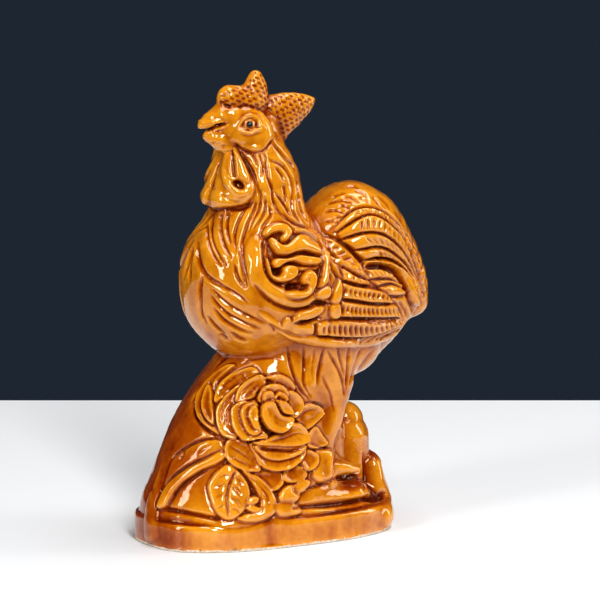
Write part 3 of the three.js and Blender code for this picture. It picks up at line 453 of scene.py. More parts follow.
class Relief:
    """The carving at a set of points on the carving plane: laid plates, raised ridges and cuts."""

    def __init__(self, q, h):
        self.q, self.h = q, h
        self.layer = np.zeros(len(q))
        self.raised = np.zeros(len(q))
        self.cut = np.zeros(len(q))
        self.order = np.argsort(q)
        self.sorted_q = q[self.order]

    def near(self, low, high):
        """Points in a box on the plane."""
        first, last = np.searchsorted(self.sorted_q, (low[0], high[0]))
        index = self.order[first:last]
        h = self.h[index]
        return index[(h > low[1]) & (h < high[1])]

    def nearest(self, path, reach):
        """Points within reach of a path, their distances to it and where along it they are."""
        index = self.near(path.min(0) - reach, path.max(0) + reach)
        q, h = self.q[index], self.h[index]
        best = np.full(len(index), FAR)
        where = np.zeros(len(index))
        spans = len(path) - 1
        for n in range(spans):
            (aq, ah), (bq, bh) = path[n], path[n + 1]
            eq, eh = bq - aq, bh - ah
            t = np.clip(((q - aq) * eq + (h - ah) * eh) / max(eq * eq + eh * eh, TINY_SQUARE), 0, 1)
            d = (q - aq - eq * t) ** 2 + (h - ah - eh * t) ** 2
            closer = d < best
            best[closer] = d[closer]
            where[closer] = ((n + t) / spans)[closer]
        keep = best < reach * reach
        return index[keep], np.sqrt(best[keep]), where[keep]

    @staticmethod
    def taper(where, start, end):
        """How full a stroke is at a share of its length, thinning out over its start and its end."""
        value = np.ones(len(where))
        if start:
            value = np.minimum(value, np.sqrt(np.clip(where / start, 0, 1)))
        if end:
            value = np.minimum(value, np.sqrt(np.clip((1 - where) / end, 0, 1)))
        return value

    def groove(self, points, width=0.5, depth=0.9, taper=(0.2, 0.3)):
        """A rounded cut along a path."""
        path = spline(points)
        index, distance, where = self.nearest(path, width * GROOVE_REACH)
        # Its ends keep a third of its width
        size = self.taper(where, *taper)
        value = depth * size * np.exp(-(distance / (width * (0.35 + 0.65 * size))) ** 2)
        self.cut[index] = np.minimum(self.cut[index], -value)

    def ridge(self, points, width=1.5, height=1.2, taper=(0.15, 0.15), roundness=0.5):
        """A roll along a path."""
        path = spline(points)
        index, distance, where = self.nearest(path, width)
        # Its ends keep a third of its size
        size = 0.3 + 0.7 * self.taper(where, *taper)
        value = height * size * np.clip(1 - (distance / (width * size)) ** 2, 0, 1) ** roundness
        self.raised[index] = np.maximum(self.raised[index], value)

    def barbs(self, top, bottom, count, lean, width=0.42, depth=0.5, span=(0.15, 0.9)):
        """Short grooves across the band between two paths, as in a feather's vane."""
        a, b = spline(top), spline(bottom)
        for n in range(count):
            share = (n + 0.5) / count
            p, r = along(a, share), along(b, min(max(share + lean / count, 0), 1))
            self.groove([p + (r - p) * span[0], p + (r - p) * span[1]], width, depth, (0.3, 0.4))

    def within(self, outline, reach):
        """Points near an outline, and how far inside it they are."""
        path = np.vstack([outline, outline[:1]])
        index = self.near(path.min(0) - reach, path.max(0) + reach)
        q, h = self.q[index], self.h[index]
        best = np.full(len(index), FAR)
        odd = np.zeros(len(index), bool)
        for (aq, ah), (bq, bh) in zip(path[:-1], path[1:]):
            eq, eh = bq - aq, bh - ah
            t = np.clip(((q - aq) * eq + (h - ah) * eh) / max(eq * eq + eh * eh, TINY_SQUARE), 0, 1)
            best = np.minimum(best, (q - aq - eq * t) ** 2 + (h - ah - eh * t) ** 2)
            if ah != bh:
                odd ^= ((ah > h) != (bh > h)) & (q < aq + (h - ah) * eq / eh)
        return index, np.sqrt(best) * np.where(odd, 1, -1)

    def plate(self, points, level, bulge=0.6, half=2.0, edge=0.45, lift=None, veins=None, smooth=True,
              crevice=0.35):
        """A raised form with a rounded face, or a cupped one, laid over what is below it.

        bulge is how far its face rises over the distance half from its outline, or sinks if it is negative.
        lift is (centre, gain): the face climbs away from the centre. veins is (centre, count, depth).
        crevice is the depth of the narrow hollow round its foot.
        """
        outline = closed_spline(points) if smooth else np.array(points, float)
        index, depth = self.within(outline, edge + 2 * CREVICE_WIDTH)
        cover = smooth_step(depth, -edge, edge)
        round_in = np.clip(depth / half, 0, 1)
        curve = np.sqrt(1 - (1 - round_in) ** 2) if bulge > 0 else smooth_step(round_in, 0.1, 1)
        value = level + bulge * curve
        q, h = self.q[index], self.h[index]
        if lift:
            (cq, ch), gain = lift
            run = np.hypot(q - cq, h - ch)
            solid = depth > 0
            if solid.any():
                low, high = np.percentile(run[solid], (2, 98))
                value = value + gain * (np.clip((run - low) / max(high - low, 0.1), 0, 1) - 0.5)
        if veins:
            (cq, ch), count, cut = veins
            turn = np.arctan2(h - ch, q - cq) * count
            value = value + cut * (np.cos(turn) + np.cos(turn * 1.7 + q * 0.4)) * np.clip(depth, 0, 1)
        hollow = crevice * np.exp(-((np.minimum(depth, 0) + edge) / CREVICE_WIDTH) ** 2)
        self.layer[index] = (self.layer[index] - hollow) * (1 - cover) + value * cover

    def band(self, top, bottom, level, bulge=0.7, half=1.6, edge=0.4):
        """A plate between two paths that run the same way."""
        self.plate(np.vstack([spline(top), spline(bottom)[::-1]]), level, bulge, half, edge, smooth=False)

    def patch(self, centre, length, breadth, slope, level, dome=0.0, half=None, edge=0.35):
        """An oval plate."""
        turn = np.linspace(0, 2 * math.pi, 24, endpoint=False)
        c, s = math.cos(math.radians(slope)), math.sin(math.radians(slope))
        u, v = length * np.cos(turn), breadth * np.sin(turn)
        outline = np.stack([centre[0] + u * c - v * s, centre[1] + u * s + v * c], 1)
        self.plate(outline, level, dome, half or min(length, breadth), edge, smooth=False)

    def pit(self, centre, length, breadth, slope, depth):
        """An oval hollow with sloping sides."""
        index = self.near(np.array(centre) - length * 2, np.array(centre) + length * 2)
        c, s = math.cos(math.radians(slope)), math.sin(math.radians(slope))
        q, h = self.q[index] - centre[0], self.h[index] - centre[1]
        radius = np.hypot((q * c + h * s) / length, (h * c - q * s) / breadth)
        value = -depth * (1 - smooth_step(radius, 0.55, 1.25))
        self.cut[index] = np.minimum(self.cut[index], value)

    def height(self):
        """How high the finished carving stands at each point."""
        return self.layer + self.raised + self.cut


def carve_head(r):
    # The bare face with its brow, and the creases round it
    r.plate([(-10.4, 131), (-8, 129.2), (-4.6, 128.2), (-1, 128.6), (1.2, 130.6), (2.6, 133.4), (1.6, 137),
             (-0.8, 140.6), (-4.6, 142.4), (-9.4, 142.6), (-13, 142.6), (-17, 144), (-22, 142), (-25, 137),
             (-23, 131), (-18, 127.4), (-13.4, 130)], 0.3, 0.3, 3, 1.2, crevice=0)
    r.groove([(-15.6, 144.9), (-13.4, 143.4), (-11, 142.5)], 0.42, 1.0, (0.05, 0.3))
    r.groove([(-11.6, 142.7), (-5, 143.2), (-1, 141.6), (1.6, 138.5), (3.5, 134.4), (5, 131.3)], 0.4, 0.55,
             (0.2, 0.1))
    r.ridge([(-11.6, 141.2), (-8, 141.7), (-4.6, 141.5), (-1.8, 139.9), (0, 137)], 1.8, 0.4, (0.3, 0.3), 1)
    r.groove([(-10.2, 131), (-8.2, 128.8), (-4.8, 127.6), (-1.4, 128), (0.8, 129.8), (2.6, 132.6)], 0.42,
             0.9, (0.1, 0.1))
    r.ridge([(-8.2, 130.2), (-5, 129.2), (-1.6, 129.8)], 1.2, 0.4, (0.3, 0.3), 1)
    # The eye in its socket, between its lids
    r.pit((-5.2, 137), 3.5, 2.2, 2, 0.9)
    r.patch(EYE_CENTRE, EYE_RADIUS, 1.8, 0, 0.1, 0.6, EYE_RADIUS, 0.3)
    # The ball of the eye fills most of the socket again
    r.cut[r.near(np.array(EYE_CENTRE) - EYE_RADIUS, np.array(EYE_CENTRE) + EYE_RADIUS)] *= 0.35
    r.ridge([(-8.9, 136.5), (-7.4, 138.7), (-5.3, 139.7), (-3.3, 138.9), (-1.9, 136.9), (-0.4, 135.6)],
            0.55, 0.9, (0.2, 0.2))
    r.ridge([(-8.8, 135.5), (-7, 134.5), (-5, 134.3), (-3.2, 135.2), (-1.2, 135.5)], 0.5, 0.8, (0.2, 0.2))
    r.groove([(-9.4, 137), (-8, 139.5), (-5.4, 140.6), (-2.6, 139.6), (-1, 137.2)], 0.35, 0.4)
    r.groove([(-8.6, 134), (-6.2, 133.3), (-3.6, 134), (-0.8, 134.4)], 0.4, 0.4)
    # The open beak, its lips and the jaw
    r.pit((-18.8, 135.5), 1.9, 0.75, 18, 1.9)
    r.pit((-15.4, 137), 2.1, 0.6, 10, 1.4)
    r.groove([(-21.4, 135), (-18.8, 135.7), (-16, 136.8), (-14, 137.2), (-12.6, 137.1)], 0.42, 1.0,
             (0.02, 0.25))
    r.ridge([(-21.6, 137.7), (-19.4, 137.4), (-16.8, 138.1), (-14.4, 138.3)], 0.6, 0.5, (0.3, 0.3), 1)
    r.groove([(-19.4, 138.8), (-16.6, 139.1), (-14.4, 138.8), (-13.2, 137.8)], 0.35, 0.45)
    r.ridge([(-20.2, 133.6), (-18.4, 134.4), (-16.6, 135.7), (-14.4, 136.1), (-12.2, 136.9)], 0.6, 0.7,
            (0.2, 0.3), 1)
    r.groove([(-17.4, 131.6), (-16.2, 130.7), (-14.6, 131.4)], 0.35, 0.4)
    r.ridge([(-13.8, 129.6), (-12.4, 130.4), (-10.8, 130.2)], 0.6, 0.5)


def carve_wattles(r):
    r.plate([(-10.4, 129.6), (-13.8, 129.8), (-17.6, 128.4), (-21, 121), (-22.8, 115.6), (-22, 111),
             (-19.8, 109.4), (-13, 109.6), (-7.4, 110.4), (-4.8, 112.6), (-3.9, 115.4), (-4.9, 119),
             (-6.6, 122.9), (-8.8, 126.9)], 0.7, 0.9, 3, 0.45, crevice=0.2)
    r.plate([(-10, 129), (-10, 124), (-9.7, 119.6), (-7.8, 118.6), (-5.8, 117.4), (-5.2, 119.2),
             (-6.8, 123), (-8.8, 126.8)], 1.9, 0.7, 1.8, 0.35)
    r.pit((-9, 116.9), 2, 1.3, -35, 3.2)
    r.groove([(-10.5, 129.2), (-10.5, 124), (-10.2, 119.2)], 0.4, 1.1, (0.1, 0.02))
    r.ridge([(-11.7, 128), (-12.7, 122.5), (-12.7, 118.4), (-10.9, 115.4), (-8.2, 113.9), (-5.8, 114.8)],
            1.1, 0.8, (0.3, 0.3), 0.8)
    r.groove([(-16, 128.6), (-16.7, 124), (-16.6, 119), (-16.2, 114.4)], 0.5, 1.3, (0.1, 0.3))
    r.groove([(-14.4, 128.8), (-15, 124.6), (-15.2, 121.4)], 0.35, 0.7)
    r.ridge([(-17.6, 125), (-18.5, 119.6), (-18.2, 114.6)], 1.3, 0.7, (0.3, 0.3), 1)
    r.groove([(-14.4, 113.6), (-11.6, 111.8), (-8.4, 111.7)], 0.4, 0.5)
    r.groove([(-20.4, 108.6), (-13.2, 108.4), (-7.4, 109), (-3.8, 111.4)], 0.5, 1.1, (0.2, 0.2))
    r.groove([(-8.6, 128.6), (-6.4, 124.8), (-4.3, 120.6), (-2.5, 116), (-1.8, 112.8)], 0.4, 0.8,
             (0.05, 0.2))


# The cuts between the locks of feathers on the neck and on the breast
NECK_LOCKS = (
    ((-8, 127.4), (-5.6, 123.6), (-4, 120.6), (-2.8, 117)),
    ((-4.6, 127.6), (-3.3, 125.2), (-2.4, 123)),
    ((-2.2, 127.4), (-1.2, 124.6), (-0.7, 122), (-1.5, 119.4)),
    ((-0.8, 128), (0.1, 125), (0.3, 122), (0.9, 119), (2.2, 115.4), (2.6, 111.6), (4.4, 108), (7.2, 105)),
    ((0.3, 126.2), (2, 124.9), (4.6, 124), (6.9, 122), (8.6, 119), (9.3, 115.4), (9, 112), (9, 109),
     (10, 106.6), (12, 104)),
    ((2.2, 131), (4.6, 128.4), (7, 125.9), (9, 123.8), (10.1, 121)),
    ((3.4, 122.9), (5.3, 120.6), (6.5, 117.8)),
    ((3, 114.6), (5.4, 111.6), (7.5, 108.6), (8.4, 106.6)),
    ((10.6, 119.6), (11.2, 115), (11.6, 111), (12.4, 107.6), (14.2, 104.4)),
    ((-1.8, 116), (-1.5, 112), (-2.3, 108.4), (-4.5, 104.4), (-6, 100.6)),
    ((-3, 111.6), (-3.9, 108.4), (-6, 104), (-7.5, 99), (-8.4, 95)),
    ((-0.2, 113), (0, 109), (-1.5, 105.6), (-3.9, 102.2)),
    ((1, 110), (1.7, 107), (0.3, 104.6), (-1.6, 102.1)),
    ((-6, 110.6), (-8, 107), (-9.8, 103), (-10.4, 99), (-9.8, 94.4)),
    ((6, 117), (6.8, 113.6), (6.6, 110.8)),
    ((5.4, 107.4), (9, 104.6), (13, 102.6), (17.6, 99.6)),
)
BREAST_LOCKS = (
    ((-19.9, 107), (-19.8, 102), (-19, 97), (-17, 92.4), (-14.4, 89.4)),
    ((-17.4, 108), (-18.3, 103), (-17.8, 98), (-15.8, 93.4), (-12.8, 89.2)),
    ((-14.6, 108), (-15.2, 104), (-14.5, 99), (-13.2, 95.4), (-11.4, 92)),
    ((-12.4, 108.4), (-13, 104), (-12.6, 100), (-11.6, 97)),
    ((-22.6, 98), (-22.8, 93), (-21, 88), (-18.4, 85.2), (-14.4, 82.9), (-10.8, 80.9), (-7.8, 78.9),
     (-5.6, 77)),
    ((-18, 82.4), (-15.3, 79), (-12, 76.4), (-8, 74), (-4, 72), (0.4, 70.3)),
    ((-18.2, 80), (-16.5, 77), (-13.4, 74), (-10, 72), (-6, 70), (-1.6, 68.6)),
    ((-17.6, 76), (-15, 72.5), (-12, 70.2), (-8, 68), (-4, 67)),
    ((-19.6, 73), (-16.8, 69.5), (-13, 66)),
    ((-20.9, 87), (-21.9, 83), (-22, 79), (-21.6, 74), (-19.4, 70)),
    ((-26.8, 85), (-28, 81), (-27.8, 77)),
    ((-24.4, 96), (-25.6, 90), (-25.4, 84)),
    ((-15.4, 66.8), (-12.6, 64.8)),
    ((-11.6, 67.2), (-9, 65.4), (-6, 64.4)),
    ((-8.8, 96), (-7.9, 90), (-7, 85), (-6.2, 82.2)),
    ((-10.4, 90.4), (-9.4, 86), (-6.8, 82)),
    ((1.2, 70.6), (4, 68.8), (8, 67), (12.5, 66.1)),
)


def carve_plumage(r):
    for lock in NECK_LOCKS:
        r.groove(lock, 0.46, 1.05)
    for lock in BREAST_LOCKS:
        r.groove(lock, 0.52, 1.05)
    r.groove([(-22.6, 98), (-22.8, 93), (-21, 88), (-18.4, 85.2), (-14.4, 82.9), (-10.8, 80.9)], 0.8, 1.2)


def carve_scroll(r):
    # The boss round the scrolls: a smooth roll on its left, a band under it and a ring on its right
    r.ridge([(-3.4, 99.6), (-3.9, 96), (-3.8, 91), (-3, 86.6), (-0.6, 83), (3.6, 80.2), (8.4, 78.6),
             (13, 78.6), (17, 80.4)], 3.1, 1.0, (0.15, 0.15), 0.7)
    r.ridge([(10.2, 101.6), (14.6, 100.8), (18.3, 97.6), (20.1, 93), (20.3, 88.6), (19.4, 84.8),
             (17.6, 82.6)], 1.5, 1.5, (0.15, 0.15), 0.6)
    r.groove([(-7.6, 97.6), (-7.6, 93), (-6.9, 88.6), (-5.4, 84.6)], 0.6, 0.9)
    r.groove([(-4, 84), (-1.6, 81), (1.6, 78), (5.6, 75.9), (10, 74.9), (14.6, 75.8), (16.4, 77.4)], 0.7,
             1.3, (0.2, 0.1))
    r.groove([(-0.5, 99), (-0.9, 95.6), (-0.6, 91.6), (0.2, 88), (1.8, 85), (4.2, 83.4), (6.4, 83)], 0.55,
             1.0, (0.1, 0.1))
    r.plate([(0.4, 98.6), (2, 99.8), (4.6, 100.4), (8, 101.2), (12, 101.4), (16, 99.6), (18.8, 96),
             (19.4, 91), (18.8, 86.4), (16.6, 82), (13.6, 79.6), (9.6, 79), (6.4, 81.4), (3, 84), (0.6, 88),
             (-0.1, 93)], -0.9, -0.2, 2, 0.5)
    scroll_level = 0.7
    # The long S at the top
    r.plate([(0.9, 98), (1.9, 99.2), (3.4, 98.2), (5.4, 96.9), (7.2, 97), (9, 98.6), (10.8, 99.9),
             (12.8, 99.9), (15, 98.4), (17.2, 96.4), (18.5, 93.7), (16, 93.9), (13, 94.7), (10.6, 94.4),
             (8, 93.5), (5.6, 93.2), (3.9, 93.5), (2.6, 95)], scroll_level, 1.0, 1.6)
    # The tongue under it
    r.plate([(2.1, 90.4), (2.9, 91.9), (4.6, 92.3), (7.6, 92.3), (11, 93.3), (14.4, 93.1), (18, 92.4),
             (18.6, 91.1), (17.2, 90.1), (14, 90), (11.6, 90.5), (9.6, 91.1), (7.4, 90.9), (5.6, 89.9),
             (4.4, 89), (3, 89)], scroll_level, 0.9, 1.2)
    r.groove([(9.4, 91.7), (12.6, 91.9), (16.6, 91.3)], 0.3, 0.3)
    # The leaf that turns down on the right
    r.ridge([(8.8, 90), (11, 88.9), (14, 88.8), (17, 89.2), (18.9, 90.6)], 0.8, 1.1, (0.2, 0.2))
    # The hook round the upper pit
    r.plate([(0.5, 92.4), (0.1, 89.8), (1, 86.9), (2.8, 84.9), (5.4, 84.2), (8.2, 84.8), (10.2, 86.3),
             (10.6, 88.2), (9.4, 89.6), (7.4, 90), (5.9, 89.2), (5.6, 87.6), (4.7, 86.3), (3.2, 86.6),
             (2, 88.2), (1.3, 90.4)], scroll_level, 1.1, 1.3)
    r.pit((3.7, 87.5), 1.8, 1.5, 20, 2.2)
    r.groove([(6.4, 89.4), (7.2, 88), (8.6, 87.2), (9.6, 87.6)], 0.3, 0.5)
    # The curl round the lower pit
    r.plate([(6.6, 80.4), (8.6, 79), (11.6, 79), (14.6, 80.2), (16.6, 83), (16.9, 86), (15.9, 88), (14, 88),
             (12.4, 86.8), (11.8, 85), (12.6, 83.6), (13.9, 83.4), (13.6, 82), (12.2, 81.3), (10.4, 81.6),
             (8.2, 81.4)], scroll_level, 1.1, 1.3)
    r.pit((9.4, 82.6), 2.4, 1.4, 14, 2.4)
    r.groove([(14.2, 84.2), (13.7, 85.4), (14.3, 86.6)], 0.35, 0.7)
    r.plate([(-1.2, 100.3), (0.4, 102.4), (3.6, 103.9), (6.6, 103.6), (8.6, 101.6), (8.5, 99.6), (7, 98),
             (5.3, 98.2), (4.9, 99.4), (5.9, 100.2), (4.7, 101), (2.2, 100.5), (0.6, 99.3)], 0.6, 0.9, 1.2)
    r.pit((18.3, 77.1), 3.0, 0.9, -3, 1.9)
    r.groove([(0.9, 96.6), (1.3, 93.4), (2.2, 91)], 0.35, 0.5)
    r.groove([(2.5, 96), (3.4, 94.4), (4.6, 93)], 0.35, 0.6)
    r.groove([(1.6, 70.4), (2.4, 69.2), (3.2, 67.6)], 0.5, 0.9)


# The rows of feathers on the wing, the top one first: upper edge and lower edge
ROW_A = (((26.2, 89), (30, 86.4), (34.8, 84.6)), ((26, 85.2), (30, 84), (34.6, 83.4)))
ROW_B = (((25.8, 84.2), (30, 82.8), (36, 81.9), (40, 80.9), (42.4, 78.6)),
         ((25.8, 78.9), (30, 78.4), (36, 77.4), (42.6, 77.4)))
ROW_C = (((25.6, 77.8), (33, 76.9), (39, 76.6), (44.4, 76.4)), ((24.6, 72.6), (35, 72.4), (45.8, 72.5)))
ROW_D = (((18.6, 70.4), (24, 71.3), (32, 70.9), (39, 70.2), (46.6, 71.2)),
         ((17, 66.6), (24, 65.9), (32, 65.7), (38, 66.8), (45.4, 70)))


def carve_wing(r):
    for (top, bottom), level in ((ROW_D, 0.1), (ROW_C, 0.3), (ROW_B, 0.5), (ROW_A, 0.6)):
        r.band(top, bottom, level, 0.7, 1.3)
        r.groove(moved(bottom, 0, -0.55), 0.55, 1.3, (0.08, 0.08))
    r.barbs(*ROW_A, 4, 0, 0.48, 1.1, (0.18, 0.85))
    r.barbs(*ROW_B, 11, 0, 0.48, 1.1, (0.18, 0.85))
    r.barbs(*ROW_C, 14, 0, 0.48, 1.1, (0.16, 0.86))
    r.barbs(*ROW_D, 16, 0.8, 0.48, 1.1, (0.18, 0.9))
    r.ridge([(-2, 74), (3, 70.4), (8, 66.9), (14, 65.1), (22, 64), (32, 63.9), (38, 65.2), (44, 68.2),
             (47.4, 70.6)], 1.7, 1.1, (0.3, 0.15), 0.7)
    r.plate([(8.6, 70.2), (9.4, 72.6), (11.6, 74.6), (15, 75.4), (18.4, 76.6), (19.4, 75.4), (17.4, 73.2),
             (14, 71.8), (11, 71.6)], 0.5, 0.9, 1.6)
    r.pit((14.6, 71.2), 4.4, 0.8, 16, 1.5)
    r.plate([(16.8, 80.4), (18.4, 82), (20.8, 83), (21.9, 81.6), (21.4, 79.4), (19.6, 78.6), (17.2, 78.8)],
            0.6, 0.8, 1.6)
    r.plate([(22.2, 77.4), (22.2, 80.4), (23.4, 83.4), (24.8, 85.2), (25.6, 82.6), (25.4, 79.4),
             (24.4, 77)], 0.6, 0.7, 1.2)
    r.plate([(21.8, 72.6), (21.8, 76.2), (23.4, 77.2), (25, 76.6), (25.2, 73.6), (24, 72)], 0.5, 0.7, 1.3)
    r.plate([(5.6, 70), (7, 72.4), (8.4, 72), (9.2, 70.6), (12.6, 69.9), (16.2, 69.6), (16.2, 67),
             (12.4, 67), (8.6, 68)], 0.3, 0.5, 1.4)
    r.plate([(17.2, 69.9), (20.6, 71.2), (21.4, 69.4), (20.6, 66.6), (17.6, 66.6)], 0.4, 0.6, 1.4)
    r.groove([(17, 70.4), (16.8, 68.4), (16.2, 66.4)], 0.5, 1.1)
    r.groove([(20.8, 93), (22, 89.4), (23.7, 86.4), (24.2, 84.8)], 0.4, 0.9)
    r.groove([(21.2, 92), (20.9, 88.4), (21.9, 84.4)], 0.4, 0.9)
    r.groove([(22.6, 94), (24.6, 89.6), (26, 86)], 0.4, 0.9)
    r.groove([(26, 90.4), (26.9, 87.6), (26.2, 85.4)], 0.4, 0.9)
    back = ((19.4, 99.9), (24, 97.6), (28, 94.4), (31, 91), (33, 87.8), (35.2, 85.4))
    wing_edge = ((18.7, 99), (21, 95.6), (24, 92), (28, 89), (32, 86.6), (34.8, 85))
    r.band(back, wing_edge, 0.3, 0.6, 1.2)
    r.groove(moved(back, 0.7, 0.7), 0.5, 1.1)
    r.groove(moved(wing_edge, -0.6, -0.8), 0.45, 0.9)
    r.barbs(back, wing_edge, 8, -0.6, 0.4, 0.6)


# The edges between the tail's long plumes, from the back down
PLUMES = (
    ((22.4, 102), (25.5, 105.4), (29, 108.4), (33, 109.8), (37, 109.4), (41, 107.4), (45, 103.8),
     (48.3, 99.6), (50.8, 94.8), (52.8, 89), (54.6, 82)),
    ((24, 101), (27.6, 103.6), (31.6, 106), (35.5, 107.2), (39, 106.2), (42.8, 103.4), (46, 100),
     (48.2, 96), (50, 91.6), (51.8, 87), (53.8, 81)),
    ((25.4, 98.6), (28.5, 99.6), (32, 100.6), (36, 101), (40, 100.2), (43.5, 97.8), (46.2, 95), (48.2, 92),
     (50, 88.6), (52, 84.5), (53.6, 80)),
    ((30, 95), (33.5, 95.6), (37, 96.2), (40.5, 95.6), (43.5, 93.8), (46.3, 91.4), (48.5, 88.6),
     (50.5, 85.4), (52.4, 81)),
    ((33, 91.6), (36, 92.4), (39, 92.5), (42, 91.9), (45, 90), (47.8, 86.8), (49.8, 82.4), (51.4, 76.5)),
    ((33.4, 90), (37, 90.1), (41, 89.4), (44, 87.8), (46.4, 85.2), (48, 82), (49.4, 77)),
)
# Short wavy cuts on the tail's shoulder
TAIL_LOCKS = (
    ((20, 104.4), (22.4, 104.8), (24.4, 103.8)),
    ((19.8, 107.6), (22, 108.4), (24.6, 108.2), (27, 106.6)),
    ((20.4, 110.4), (23, 111.4), (26, 111.8), (29, 110.8)),
    ((22.2, 112.6), (24.6, 114), (27.2, 114.6)),
    ((24.4, 110), (26.6, 110), (28.4, 108.6)),
    ((23, 105.8), (25, 106), (26.6, 104.8)),
    ((25.6, 113), (28.6, 112.8), (31.6, 110.8)),
    ((27, 116.6), (29.6, 117), (31.4, 116)),
    ((29.8, 115.4), (32.6, 114.6), (34.8, 112.2)),
    ((31, 113), (33.4, 112.4), (35, 110.8)),
    ((35.2, 113.8), (37.4, 111.8), (38.6, 109.6)),
    ((38, 113.6), (40.6, 111.2), (42.2, 108.6)),
    ((43.4, 108.4), (46, 105), (48, 101.2)),
)


def carve_tail(r):
    # The long plumes, each laid over the one above it, the last one a narrow roll without barbs
    for n, (upper, lower) in enumerate(zip(PLUMES[:-1], PLUMES[1:])):
        bulge, half = (1.4, 1.0) if n == len(PLUMES) - 2 else (0.8, 1.8)
        r.band(moved(upper, 0, -0.4), moved(lower, 0, 0.3), 0.1 + 0.15 * n, bulge, half)
        r.groove(upper, 0.42, 0.9, (0.15, 0.15))
    for upper, lower, count in zip(PLUMES[:-2], PLUMES[1:-1], (17, 19, 15, 15)):
        top, bottom = moved(upper[2:], -0.3, -0.6), moved(lower[1:], 0, 0.4)
        r.barbs(top, bottom, count, 1.5, 0.42, 0.95, (0.12, 0.9))
    r.groove([(33.4, 89.6), (37, 89.6), (41, 88.8), (44, 87.2), (46, 84.8), (47.4, 81.8), (48.6, 77)], 0.7,
             1.6, (0.1, 0.2))
    small = (
        ((34.4, 88.4), (38, 88.4), (42, 87.2), (45.4, 84.6)),
        ((35.2, 85), (39, 85.3), (43, 85), (46.4, 83.4)),
        ((37.6, 82.6), (42, 83.6), (45.4, 82.6), (47.6, 80.9)),
        ((41.4, 79.6), (44.6, 79.4), (47.2, 79.9)),
    )
    for upper, lower in zip(small[:-1], small[1:]):
        r.band(upper, moved(lower, 0, 0.4), 0.3, 0.7, 1.3)
    for feather in small[1:]:
        r.groove(feather, 0.5, 1.1)
    r.barbs(small[0], moved(small[1], 0, 0.4), 7, 1, 0.4, 0.6)
    r.barbs(small[1], moved(small[2], 0, 0.4), 6, 1, 0.4, 0.6)
    r.groove([(43, 78.4), (45.2, 75.4), (46.5, 72.3)], 0.45, 0.8)
    r.groove([(44.8, 78.4), (47, 75), (48.4, 71.4)], 0.45, 0.7)
    r.groove([(48, 79), (49.4, 76), (50.2, 73)], 0.5, 0.8)
    r.groove([(51.6, 84), (52.6, 79), (53, 75.4)], 0.5, 0.6)
    for lock in TAIL_LOCKS:
        r.groove(lock, 0.45, 0.7)


# The middle of the peony
FLOWER = (2.6, 39.4)
